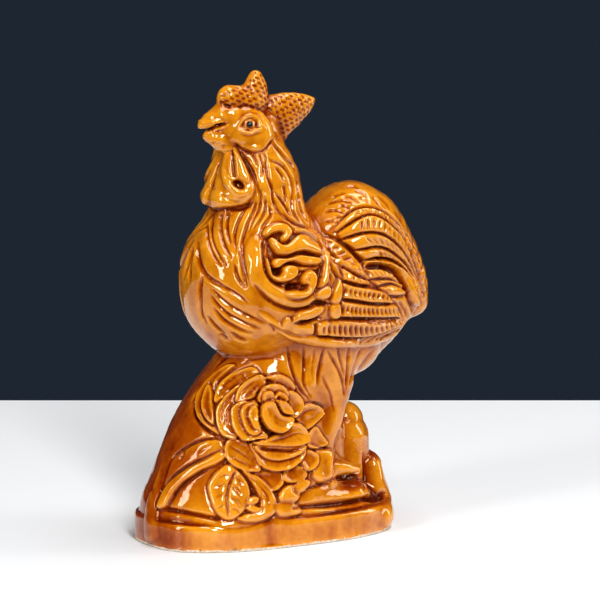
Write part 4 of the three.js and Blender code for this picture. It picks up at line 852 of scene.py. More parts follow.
# The peony's petals, the outer ones first: outline, level, lift toward the outer edge, veins
PETALS = (
    (((-23.6, 41), (-23.4, 45), (-20.9, 49.4), (-17, 53.6), (-13, 56.4), (-10.4, 56.4), (-13, 54),
      (-16.4, 50.4), (-17.6, 46.6), (-17.4, 43), (-16.6, 38.6), (-15.2, 33.4), (-18.8, 35), (-22, 37.6)),
     0.7, 0.5, 34),
    (((-21.2, 42), (-20.6, 46), (-18.6, 49.6), (-17.6, 46.6), (-17.6, 42.4), (-17, 38.4), (-17.6, 36.4),
      (-20, 38.6)), 1.2, 0.5, 34),
    (((-16.8, 43.6), (-16.4, 47), (-14.4, 50.4), (-11, 53.2), (-7, 55), (-3.8, 55.6), (-2.2, 53.8),
      (-4, 52.2), (-8, 49.8), (-12, 46.6)), 1.1, 0.7, 36),
    (((-0.6, 51.8), (1.6, 52.8), (4.8, 53.2), (7.8, 51.8), (9.8, 49.2), (9, 47.8), (6, 47.6), (2, 48.4)),
     1.0, 0.7, 26),
    (((-4.2, 20), (-1.6, 20.8), (2.6, 20.8), (5.4, 20.2), (6, 17.4), (4.4, 15), (2, 14), (-1, 15.3),
      (-3.4, 17.8)), 0.9, 0.8, 26),
    (((5.4, 19), (6.6, 21.2), (10, 22.6), (13, 21.6), (13.4, 18.8), (11.4, 17.4), (8.4, 16.7), (6.2, 17.4)),
     0.9, 0.8, 26),
    (((12.2, 22.4), (14, 20.7), (16.2, 22), (17.3, 24.7), (16.2, 27.2), (13.6, 27.8), (11.8, 25)), 1.0, 0.7,
     26),
    (((-14, 28), (-12.8, 31.2), (-10, 32), (-6.4, 30.6), (-4.2, 27.6), (-2.4, 23.6), (-2, 21), (-5, 20.6),
      (-8, 21.2), (-11.4, 23), (-13.4, 25.4)), 1.2, 1.0, 30),
    (((-5.6, 30.4), (-2, 30.4), (4, 30), (9, 30), (13.2, 29.6), (12.8, 26.6), (10.9, 23.6), (7.6, 21.4),
      (4, 20.8), (0.6, 21.2), (-2.2, 23), (-3.8, 26.6)), 1.2, 1.4, 34),
    (((-4, 29.6), (0, 29.8), (5, 29.6), (10, 30), (12.9, 29.6), (11.6, 27.2), (8.4, 25.4), (4, 24.4),
      (0, 25.2), (-2.4, 27)), 1.7, 0.7, 34),
    (((10, 38.4), (11, 41), (12.6, 42.9), (15.2, 43.6), (18.2, 42.2), (18.9, 40), (16.6, 37), (13.8, 34.8),
      (11.4, 35.6)), 1.0, 0.7, 20),
    (((13.4, 30.6), (15.2, 34.8), (17.2, 35.6), (19, 32.6), (20.8, 30), (18, 28.4), (14.6, 28.6)), 0.7, 0.4,
     20),
    (((-16.2, 37), (-16.2, 41), (-14.2, 44.6), (-11.6, 47.4), (-8.4, 49.6), (-8, 46), (-9.8, 43),
      (-11.2, 40), (-11, 36), (-9.4, 32.4), (-12, 31.8), (-14.8, 33.2)), 1.5, 1.0, 36),
    (((-4.6, 30.6), (-1, 31.6), (2.5, 33), (6.2, 35.2), (9, 37.2), (11.6, 36.4), (13.3, 33.8), (13.7, 31),
      (11.4, 29.8), (7, 29.4), (2, 29.6), (-2, 29.8)), 2.2, 1.3, 34),
    (((-10, 44), (-9.4, 47), (-7.4, 49.8), (-4.6, 51.8), (-1.6, 53), (0.2, 51.4), (-0.6, 49), (-2.6, 47.4),
      (-3.6, 45.6), (-6.4, 44.2), (-8.4, 43.6)), 2.0, 0.9, 32),
    (((-11.4, 38.5), (-11.2, 41.6), (-9, 43.6), (-6, 44.2), (-3.4, 44.6), (-2.4, 42.8), (-2.4, 38.5),
      (-1.4, 35), (0.6, 32.4), (-3, 31.6), (-6.5, 31), (-9, 32.2), (-10.9, 35.2)), 2.2, 1.2, 34),
    (((-8.4, 39.6), (-7.6, 42.2), (-5.4, 43.6), (-3, 43.4), (-2.6, 40.6), (-2.6, 37), (-2, 34.4),
      (-4.2, 33), (-6.8, 34.4)), 2.8, 0.8, 0),
    (((-6, 39.2), (-5.4, 41.6), (-3.8, 42.6), (-2.8, 41), (-2.9, 37.4), (-2.4, 35), (-4.4, 35.4)), 3.4, 0.6,
     0),
    (((5.8, 47.4), (8.4, 47.8), (10.2, 46.8), (11.7, 44.6), (11.8, 42), (10.6, 39.8), (9.2, 38.6),
      (8, 39.4), (7.2, 42.8)), 2.3, 1.0, 28),
    (((-2.8, 44.4), (-2.6, 46.6), (-1, 48.8), (1.4, 50), (4, 50), (6, 49), (6.6, 46.8), (6.4, 44.6),
      (2.5, 43.4), (-1, 43)), 2.6, 1.0, 0),
    (((-1.2, 44.2), (-1.2, 46.4), (0.2, 47.6), (2, 47.2), (2.4, 45.2), (1.4, 43.8)), 3.2, 0.5, 0),
    (((2.2, 44.4), (2.8, 46.8), (4.4, 47.4), (6, 46.2), (6.4, 44.4), (4.4, 43.8)), 3.2, 0.5, 0),
    (((-2.3, 40.4), (-1.9, 43), (0.4, 44.4), (4, 44.8), (6.6, 43.4), (7.7, 40.8), (8.1, 38.4), (7, 35.6),
      (4.4, 33.8), (1.8, 34.2), (-0.4, 35.8), (-1.9, 38)), 3.0, 0.4, 0),
    (((4.8, 40.3), (3.5, 42.2), (2.9, 44.5), (5.3, 44.4), (7, 42.8), (7.9, 40.2)), 4.2, 0.5, 0),
    (((-2, 39.4), (-1.8, 42.4), (0.2, 44), (2, 43.9), (3, 41.9), (4.3, 39.7), (7.8, 39), (7.1, 36),
      (4.4, 34), (1.8, 34.3), (-0.4, 35.9)), 4.0, 0.6, 0),
)
# Thin lines along the petals, where one layer of a petal ends on the next
PETAL_LINES = (
    ((-9, 56.4), (-4, 58.2), (2, 58.8), (6, 58.6)),
    ((-14.8, 37.4), (-14.4, 41.4), (-12.2, 45), (-9.4, 47.6)),
    ((-13.2, 35.6), (-12.9, 40.2), (-10.8, 43.9)),
    ((-15.6, 46.4), (-12.8, 50.1), (-8.8, 53), (-5, 54.3)),
    ((-13.4, 46.4), (-10.2, 49.6), (-6.2, 52.2)),
    ((-8.8, 45.4), (-6.5, 48.4), (-3.2, 50.9)),
    ((-7, 44.8), (-4.9, 47.3), (-2, 49.6)),
    ((-2.8, 27.4), (1, 25.4), (6, 24.8), (10.6, 26.6)),
    ((-12.6, 26.6), (-9, 24.2), (-5, 22.6)),
    ((-12.2, 29.2), (-8.6, 27.2), (-4.9, 24.4)),
    ((0, 30.9), (5, 31.7), (9.6, 33.5), (12.6, 33)),
    ((11.6, 38.8), (13.6, 41), (16.8, 41.6)),
)


def carve_peony(r):
    # Each petal is a shallow cup with fine veins, in a deep crevice, and climbs away from the middle
    for outline, level, climb, count in PETALS:
        veins = (FLOWER, count * 1.3, 0.035) if count else None
        r.plate(outline, level + 0.2, bulge=-0.65, half=1.7, edge=0.3, lift=(FLOWER, climb * 1.2),
                veins=veins, crevice=0.6)
    r.groove([(2.3, 44.6), (3.1, 42.6), (4.5, 40.2), (6, 39.7), (7.8, 39.5)], 0.3, 1.1, (0.1, 0.2))
    r.groove([(-0.6, 42.6), (0.4, 41), (0.6, 38.8)], 0.26, 0.35)
    r.groove([(1.6, 38.4), (3, 36.6), (5.4, 36.2)], 0.26, 0.3)
    r.groove([(5, 43.4), (5.9, 42.3), (6.4, 41)], 0.26, 0.3)
    for line in PETAL_LINES:
        r.groove(line, 0.3, 0.5, (0.3, 0.3))
    r.pit((3.5, 45.9), 0.7, 0.5, 0, 0.9)
    r.pit((9.6, 37.6), 1.3, 0.6, -25, 1.6)
    r.pit((0.8, 51), 1.6, 0.6, -10, 1.4)
    r.groove([(-3.4, 29), (0, 28.2), (4, 27.8), (8, 27.6), (12.4, 28.8)], 0.5, 1.2)
    for n in range(9):
        q = -5.6 + 1.5 * n
        r.groove([(q, 31.4 - 0.7 * math.sin(n * 1.7)), (q + 0.2, 29.8), (q + 0.5, 28.9)], 0.3, 0.25)


def carve_rock(r):
    # The crease round the flower's left side, and the leaf that sweeps up the rock
    r.groove([(-12, 60), (-18.6, 55), (-22.8, 49), (-24.2, 43.2), (-23.2, 38.8), (-20, 35), (-15.4, 31.8)],
             0.7, 1.2, (0.2, 0.1))
    r.plate([(-31, 24.6), (-27.6, 27.8), (-23, 30.2), (-18.6, 31.4), (-14.8, 31), (-13.8, 28), (-15, 25.6),
             (-20, 23.4), (-25, 20.6), (-30, 16.4), (-34.4, 9.8), (-36, 9.4), (-34.6, 14.6), (-33, 19.6)],
            0.2, 0.5, 3)
    r.plate([(-36.2, 9), (-33.4, 15.2), (-29.6, 19.2), (-25, 22.4), (-19.6, 25), (-15, 27.4), (-13.6, 25.4),
             (-17, 23), (-21.6, 20.8), (-26, 17.8), (-30, 14), (-33.4, 8.6)], 0.9, 0.7, 1.2)
    r.groove([(-33, 8.8), (-29.7, 14.2), (-26, 17.8), (-21.6, 20.8), (-17.2, 23)], 0.5, 1.1)
    r.groove([(-36.8, 9.6), (-33.4, 16), (-29.4, 20), (-24.6, 23.2), (-19.4, 25.9), (-15.4, 28)], 0.45, 0.7)
    r.groove([(-31.4, 25), (-27.6, 28.3), (-22.8, 30.8), (-17.6, 31.9), (-14.6, 31.6)], 0.5, 0.9)
    r.groove([(-28.6, 24), (-27.4, 26.6), (-27, 28.4)], 0.35, 0.5)
    r.groove([(-22.4, 26.6), (-20.6, 28.4), (-18, 29.4)], 0.35, 0.4)
    r.groove([(-34.8, 8.2), (-28, 7.2), (-20, 5.6), (-15, 4.8)], 0.8, 1.6, (0.1, 0.1))
    # The veined leaf
    r.plate([(-9.6, 21.4), (-12.6, 23.2), (-15.6, 21.4), (-18, 18.8), (-19.4, 15.8), (-18.8, 12.6),
             (-17.6, 9), (-15.6, 6), (-12.8, 4.6), (-9.6, 5.4), (-7, 8), (-5.6, 10.8), (-5.4, 14),
             (-6.6, 17.6)], 0.9, 0.7, 3)
    r.groove([(-10.2, 21), (-12.2, 16.6), (-13.1, 12), (-12.6, 5.6)], 0.5, 1.1, (0.1, 0.1))
    for n in range(4):
        h = 18.6 - 3.4 * n
        q = -11.4 - 0.9 * math.sin(n * 0.9)
        r.groove([(q, h), (q - 2.4, h + 0.9), (q - 5, h - 0.4)], 0.42, 0.42)
        r.groove([(q + 0.3, h), (q + 2, h - 0.6), (q + 3.6, h - 2.8)], 0.42, 0.42)
    # The curled leaf on its right
    r.plate([(-8.2, 21.2), (-5.4, 20.4), (-2, 18.6), (1, 15.4), (3.2, 11.6), (3.4, 8), (1.4, 5.2),
             (-2.6, 4), (-7, 4), (-9.4, 5), (-6.6, 6.6), (-3.4, 7.4), (-2.2, 10), (-3.2, 13.6), (-5, 17)],
            0.8, 0.9, 2.2)
    r.groove([(-7.2, 20), (-3.4, 17), (-0.4, 12.6), (0.6, 8.6)], 0.4, 0.6)
    r.groove([(-4.4, 18.6), (-2, 16.6), (0.6, 14)], 0.4, 0.5)
    # Small pads and knobs in the leaf's curl and beside it
    r.patch((-4.6, 10.8), 2.3, 1.5, 24, 1.1, 0.7)
    r.patch((-4.4, 8.2), 2.4, 1.2, -10, 1.0, 0.6)
    r.patch((7.6, 12.6), 4.2, 3.2, 42, 0.9, 1.2)
    r.patch((11.6, 15.6), 3.4, 2.0, 30, 0.8, 0.7)
    r.plate([(2.4, 9.4), (5, 10.4), (9, 10), (12, 8.4), (11, 6.2), (6, 5.4), (3.4, 6.6)], 0.6, 0.8, 2)
    # Ledges and creases of the bare rock
    r.groove([(8, 8.2), (14, 8.8), (22, 9.4), (30, 10.2), (37, 11.6), (41, 13)], 1.1, 2.6, (0.4, 0.1))
    r.groove([(13, 14.6), (17, 15.6), (22, 17.6), (30, 18.6)], 0.7, 1.0, (0.2, 0.2))
    r.groove([(33.6, 45), (34, 40), (34.4, 34), (34.6, 28)], 0.8, 0.35)
    r.groove([(33.4, 27), (33.6, 20), (33.4, 13.4)], 0.6, 0.9)
    r.groove([(-37.6, 24), (-38.4, 18), (-37.4, 12)], 0.5, 0.5)
    r.groove([(-26.6, 46), (-31, 37), (-35, 28), (-37.4, 20)], 0.8, 0.5)
    r.groove([(0.4, 6), (1.6, 1.6), (2, -5)], 2.4, 0.9, (0.05, 0.05))
    r.ridge([(-36.4, 32), (-38, 20), (-38.6, 8), (-38.8, -3)], 2.8, 0.8, (0.2, 0.05), 0.8)
    r.groove([(-37, 4.2), (-28, 3.6), (-20, 2.6), (-12, 1.6), (-4, 2.6), (1.4, 5)], 0.8, 0.5)
    r.groove([(4.4, 5.6), (12, 5.8), (22, 6.8), (34, 8.8)], 0.8, 0.5)


def carve_leg(r):
    r.groove([(7.2, 62.8), (8.6, 56), (11.2, 49.4), (15, 44.2)], 0.55, 1.0)
    r.groove([(12.6, 62.8), (13, 55.6), (13, 50.4), (15.2, 45.4)], 0.55, 1.0)
    r.groove([(19.6, 62.2), (18.2, 55.8), (17.2, 50)], 0.5, 1.0)
    r.groove([(20.6, 61.4), (24, 56), (26, 51), (26.4, 46)], 0.5, 1.0)
    r.groove([(24, 62.4), (25.4, 57.4), (26.8, 52)], 0.45, 0.8)
    r.groove([(28.2, 62.4), (27.6, 55), (27.1, 47.6)], 0.5, 1.0)
    r.groove([(32.4, 62), (30.6, 57), (28.2, 49.6)], 0.5, 0.9)
    r.groove([(37, 62), (33.6, 57.6), (30, 52.6)], 0.5, 0.6)
    r.groove([(18.8, 53), (21.6, 47), (23, 40.4)], 0.4, 0.7)
    r.groove([(16.4, 62), (15.6, 56), (15.6, 51)], 0.4, 0.5)
    r.groove([(14.6, 43.6), (18.4, 43), (19.8, 40)], 0.5, 0.8)
    r.groove([(15, 30), (19, 28.6), (22.2, 28.4)], 0.4, 0.8)
    r.plate([(16.6, 27.4), (15.4, 22.6), (15.8, 18.6), (18.4, 16.6), (21.4, 17), (22.6, 20), (22.6, 27)],
            0.4, 0.8, 2)
    r.groove([(22.7, 27.6), (22.7, 23), (22.4, 19)], 0.45, 0.9)
    r.ridge([(15.4, 60), (15.8, 54), (16, 49)], 1.4, 0.5, (0.3, 0.3), 1)


SECTIONS = (carve_head, carve_wattles, carve_plumage, carve_scroll, carve_wing, carve_tail, carve_leg,
            carve_peony, carve_rock)


def toward_camera():
    """Directions of the carving plane on the near flank: across, up, and away from the eye."""
    turn_c, turn_s = math.cos(CARVING_TURN), math.sin(CARVING_TURN)
    tip_c, tip_s = math.cos(CARVING_TIP), math.sin(CARVING_TIP)
    return (np.array([turn_c, -turn_s, 0]), np.array([turn_s * tip_s, turn_c * tip_s, tip_c]),
            np.array([turn_s * tip_c, turn_c * tip_c, -tip_s]))


def carve(points, outward):
    """Raises and cuts the carving on both flanks, and returns the carved points."""
    across, up, away = toward_camera()
    # The far flank is folded onto the near one, where y is negative
    far = points[:, 1] > 0
    x, y, z = points[:, 0], -np.abs(points[:, 1]), points[:, 2]
    q = across[0] * x + across[1] * y
    h = up[2] * z + up[0] * x + up[1] * y
    folded_y = outward[:, 1] * np.where(far, -1, 1)
    facing = -(away[0] * outward[:, 0] + away[1] * folded_y + away[2] * outward[:, 2])
    relief = Relief(q, h)
    for section in SECTIONS:
        section(relief)
    # The far flank of the rock stays smooth towards its front, where it shows in outline
    sideways = smooth_step(np.abs(outward[:, 1]), SIDEWAYS_NONE, SIDEWAYS_FULL)
    share = smooth_step(np.abs(facing), FACING_NONE, FACING_FULL)
    share *= np.where(far & (z < PLAIN_HEIGHT), sideways, 1)
    share *= smooth_step(z, FOOT_NONE, FOOT_FULL)
    return points + outward * (relief.height() * share + unevenness(points))[:, None]


def unevenness(points):
    """The slight waviness of a hand-finished mould."""
    x, y, z = points.T
    broad = np.sin(0.43 * x + 1.9 * np.sin(0.21 * z)) + np.sin(0.37 * z + 2.1 * np.sin(0.33 * y + 0.17 * x))
    fine = np.sin(1.3 * x + 1.7 * np.sin(0.9 * z + 0.4 * y)) * np.sin(1.1 * z + 1.3 * np.sin(1.2 * y))
    return BROAD_WAVE * broad + FINE_WAVE * fine


def neighbour_mean(values, faces):
    """The mean of each point's neighbours along the edges of the faces."""
    count = len(values)
    ends = np.concatenate([faces[:, i] for i in range(4)] + [faces[:, i] for i in (1, 2, 3, 0)])
    starts = np.concatenate([faces[:, i] for i in (1, 2, 3, 0)] + [faces[:, i] for i in range(4)])
    hits = np.maximum(np.bincount(ends, minlength=count), 1)
    return np.stack([np.bincount(ends, values[starts, a], count) / hits for a in range(values.shape[1])], 1)


# Rounds of smoothing, which set how wide a hollow the glaze pools in
CARVING_ROUNDS = 1
FINE_ROUNDS = 4
BROAD_ROUNDS = 40


def settle(points, faces, outward):
    """Softens the carving as a glaze does, and returns how deep the glaze pools with a painted shade on the
    front faces added, from 0 to 1.
    """
    for _ in range(CARVING_ROUNDS):
        points = points * 0.5 + neighbour_mean(points, faces) * 0.5
    level = points
    for _ in range(FINE_ROUNDS):
        level = neighbour_mean(level, faces)
    fine = ((level - points) * outward).sum(1)
    for _ in range(BROAD_ROUNDS):
        level = neighbour_mean(level, faces)
    broad = ((level - points) * outward).sum(1)
    # It also gathers on the level ground and the wing; the faces of the rock and plinth that turn to the
    # front get a painted shade
    x, _, z = points.T
    level_ground = (smooth_step(outward[:, 2], 0.45, 0.9)
                    * (1 - smooth_step(z, 20, 30)) * smooth_step(z, 7, 9))
    front = smooth_step(-outward[:, 0], 0.5, 0.85) * smooth_step(-x, 8, 16) * (1 - smooth_step(z, 54, 64))
    wing = (smooth_step(x, 10, 16) * (1 - smooth_step(x, 36, 41))
            * smooth_step(z, 67, 71) * (1 - smooth_step(z, 86, 94)))
    pool_and_shade = (POOL_EVERYWHERE + POOL_FINE * fine + POOL_BROAD * broad + POOL_LEVEL * level_ground
            + FRONT_SHADE * front + POOL_WING * wing)
    return points, np.clip(pool_and_shade, 0, 1)


def comb_mask(points, outward):
    """One on the flat sides of the comb, fading to nothing at its edges and at the head."""
    p = (points[:, 0], np.abs(points[:, 1]), points[:, 2])
    on_comb = 1 - smooth_step(np.abs(comb(p)), 0.5, 1.2)
    clear = smooth_step(skull(p), 0.5, 1.3)
    return on_comb * clear * smooth_step(np.abs(outward[:, 1]), 0.3, 0.6)


# Meshes and node trees
def to_metres(points):
    """Worked millimetres to metres in the frame, with the plinth under the solid's plinth."""
    real = points * (SCALE, SCALE_ACROSS, SCALE)
    real[:, 2] += PLINTH_HEIGHT - PLINTH_HEIGHT * SCALE
    real[:, 2] = np.where(points[:, 2] < PLINTH_HEIGHT, np.maximum(points[:, 2], 0), real[:, 2])
    real[:, 0] += PLINTH_FRONT + FIGURE_LOW[0] / MM
    return real * MM


def new_object(name, vertices, faces):
    """An object with a mesh of faces that all have the same number of sides."""
    mesh = bpy.data.meshes.new(name)
    mesh.vertices.add(len(vertices))
    mesh.vertices.foreach_set("co", np.asarray(vertices, np.float32).ravel())
    sides = faces.shape[1]
    mesh.loops.add(faces.size)
    mesh.loops.foreach_set("vertex_index", faces.astype(np.int32).ravel())
    mesh.polygons.add(len(faces))
    mesh.polygons.foreach_set("loop_start", np.arange(0, faces.size, sides, dtype=np.int32))
    mesh.update(calc_edges=True)
    mesh.validate()
    piece = bpy.data.objects.new(name, mesh)
    bpy.context.scene.collection.objects.link(piece)
    return piece


def add_attribute(piece, name, values):
    """Keeps one number for each point of the piece's mesh."""
    attribute = piece.data.attributes.new(name, "FLOAT", "POINT")
    attribute.data.foreach_set("value", np.asarray(values, np.float32))


def baked(piece):
    """Turns the piece's modifiers into its mesh."""
    result = bpy.data.meshes.new_from_object(piece.evaluated_get(bpy.context.evaluated_depsgraph_get()))
    result.name = piece.name
    piece.modifiers.clear()
    old = piece.data
    piece.data = result
    bpy.data.meshes.remove(old)


def add_node(tree, kind, links=None, **settings):
    """Adds a node. Settings are its properties, and inputs the values of its inputs, which links feed."""
    node = tree.nodes.new(kind)
    inputs = settings.pop("inputs", {})
    for name, value in settings.items():
        setattr(node, name, value)
    for key, value in inputs.items():
        node.inputs[key].default_value = value
    for key, source in (links or {}).items():
        tree.links.new(source, node.inputs[key])
    return node


def linear(hex_colour):
    """A hex sRGB colour as linear red, green, blue and alpha."""
    parts = [int(hex_colour[i:i + 2], 16) / 255 for i in (1, 3, 5)]
    return tuple(p / 12.92 if p <= 0.04045 else ((p + 0.055) / 1.055) ** 2.4 for p in parts) + (1.0,)


def new_material(name):
    """A material without nodes, and its node tree."""
    material = bpy.data.materials.new(name)
    material.use_nodes = True
    material.node_tree.nodes.clear()
    return material, material.node_tree


def glaze_material(sizes):
    """Amber lead glaze on pale earthenware: glassy, darker where it pools and thin on raised edges, with
    painted shade on the rock's front faces.
    """
    material, tree = new_material("amber_glazed_earthenware")
    place = add_node(tree, "ShaderNodeTexCoord").outputs["Object"]
    pool_and_shade = add_node(tree, "ShaderNodeAttribute", attribute_name="pool_and_shade").outputs["Fac"]
    clouds = add_node(tree, "ShaderNodeTexNoise", {"Vector": place},
                      inputs={"Scale": 1 / (CLOUD_SIZE * MM), "Detail": 3.0,
                              "Roughness": 0.5}).outputs["Fac"]
    flecks = add_node(tree, "ShaderNodeTexNoise", {"Vector": place},
                      inputs={"Scale": 1 / (FLECK_SIZE * MM), "Detail": 2.0,
                              "Roughness": 0.6}).outputs["Fac"]
    uneven = add_node(tree, "ShaderNodeMath", {0: clouds}, operation="MULTIPLY_ADD",
                      inputs={1: 0.5, 2: -0.25}).outputs[0]
    speckle = add_node(tree, "ShaderNodeMath", {0: flecks}, operation="MULTIPLY_ADD",
                       inputs={1: 0.22, 2: -0.11}).outputs[0]
    # The runs are drawn out downwards
    drawn = add_node(tree, "ShaderNodeMapping", {"Vector": place}, inputs={"Scale": RUN_STRETCH}).outputs[0]
    runs = add_node(tree, "ShaderNodeTexNoise", {"Vector": drawn},
                    inputs={"Scale": 1 / (RUN_SIZE * MM), "Detail": 2.0, "Roughness": 0.5}).outputs["Fac"]
    streak = add_node(tree, "ShaderNodeMath", {0: runs}, operation="MULTIPLY_ADD",
                      inputs={1: 0.5, 2: -0.25}).outputs[0]
    depth = add_node(tree, "ShaderNodeMath", {0: pool_and_shade, 1: uneven}, operation="ADD").outputs[0]
    depth = add_node(tree, "ShaderNodeMath", {0: depth, 1: streak}, operation="ADD").outputs[0]
    depth = add_node(tree, "ShaderNodeMath", {0: depth, 1: speckle}, operation="ADD").outputs[0]
    ramp = add_node(tree, "ShaderNodeValToRGB", {"Fac": depth})
    stops = ((0.0, sizes.thin_colour), (0.27, sizes.glaze_colour), (0.5, sizes.deep_colour),
             (0.78, sizes.pooled_colour), (1.0, sizes.darkest_colour))
    while len(ramp.color_ramp.elements) < len(stops):
        ramp.color_ramp.elements.new(0.5)
    for element, (position, colour) in zip(ramp.color_ramp.elements, stops):
        element.position = position
        element.color = tuple(colour)
    wave = add_node(tree, "ShaderNodeTexNoise", {"Vector": place},
                    inputs={"Scale": 1 / (WAVE_SIZE * MM), "Detail": 1.0}).outputs["Fac"]
    bump = add_node(tree, "ShaderNodeBump", {"Height": wave},
                    inputs={"Strength": 0.25, "Distance": 0.12 * MM})
    rough = add_node(tree, "ShaderNodeMath", {0: clouds}, operation="MULTIPLY_ADD",
                     inputs={1: 0.08, 2: 0.05}).outputs[0]
    # The clear top layer is full on raised forms and fades out in the carving, a painted shade that keeps
    # the reflections out of the hollows so that they stay red
    clear = add_node(tree, "ShaderNodeMath", {0: depth}, operation="MULTIPLY_ADD", use_clamp=True,
                     inputs={1: -1.0, 2: 0.9}).outputs[0]
    glaze = add_node(tree, "ShaderNodeBsdfPrincipled",
                     {"Base Color": ramp.outputs["Color"], "Roughness": rough,
                      "Normal": bump.outputs["Normal"], "Coat Weight": clear},
                     inputs={"IOR": 1.5, "Specular Tint": sizes.warmth, "Coat IOR": 1.62,
                             "Coat Roughness": 0.03, "Coat Tint": sizes.tint})
    add_node(tree, "ShaderNodeOutputMaterial", {"Surface": glaze.outputs["BSDF"]})
    return material


def clay_material():
    """Unglazed earthenware at the wiped foot: pale, dry and slightly gritty."""
    material, tree = new_material("bare_earthenware")
    place = add_node(tree, "ShaderNodeTexCoord").outputs["Object"]
    grit = add_node(tree, "ShaderNodeTexNoise", {"Vector": place},
                    inputs={"Scale": 1 / (GRIT_SIZE * MM), "Detail": 4.0}).outputs["Fac"]
    ramp = add_node(tree, "ShaderNodeValToRGB", {"Fac": grit})
    ramp.color_ramp.elements[0].position = 0.3
    ramp.color_ramp.elements[0].color = linear("#B9A285")
    ramp.color_ramp.elements[1].position = 0.7
    ramp.color_ramp.elements[1].color = linear("#E6DAC6")
    bump = add_node(tree, "ShaderNodeBump", {"Height": grit},
                    inputs={"Strength": 0.5, "Distance": 0.15 * MM})
    clay = add_node(tree, "ShaderNodeBsdfPrincipled",
                    {"Base Color": ramp.outputs["Color"], "Normal": bump.outputs["Normal"]},
                    inputs={"Roughness": 0.85, "IOR": 1.5})
    add_node(tree, "ShaderNodeOutputMaterial", {"Surface": clay.outputs["BSDF"]})
    return material


def pupil_material():
    """Iron black brushed on the eye under the clear glaze: very dark, with a brown edge to it."""
    material, tree = new_material("iron_black_glaze")
    place = add_node(tree, "ShaderNodeTexCoord").outputs["Object"]
    brush = add_node(tree, "ShaderNodeTexNoise", {"Vector": place},
                     inputs={"Scale": 1 / (BRUSH_SIZE * MM), "Detail": 2.0}).outputs["Fac"]
    ramp = add_node(tree, "ShaderNodeValToRGB", {"Fac": brush})
    ramp.color_ramp.elements[0].color = linear("#050302")
    ramp.color_ramp.elements[1].color = linear("#1C0E06")
    black = add_node(tree, "ShaderNodeBsdfPrincipled", {"Base Color": ramp.outputs["Color"]},
                     inputs={"Roughness": 0.05, "IOR": 1.5})
    add_node(tree, "ShaderNodeOutputMaterial", {"Surface": black.outputs["BSDF"]})
    return material


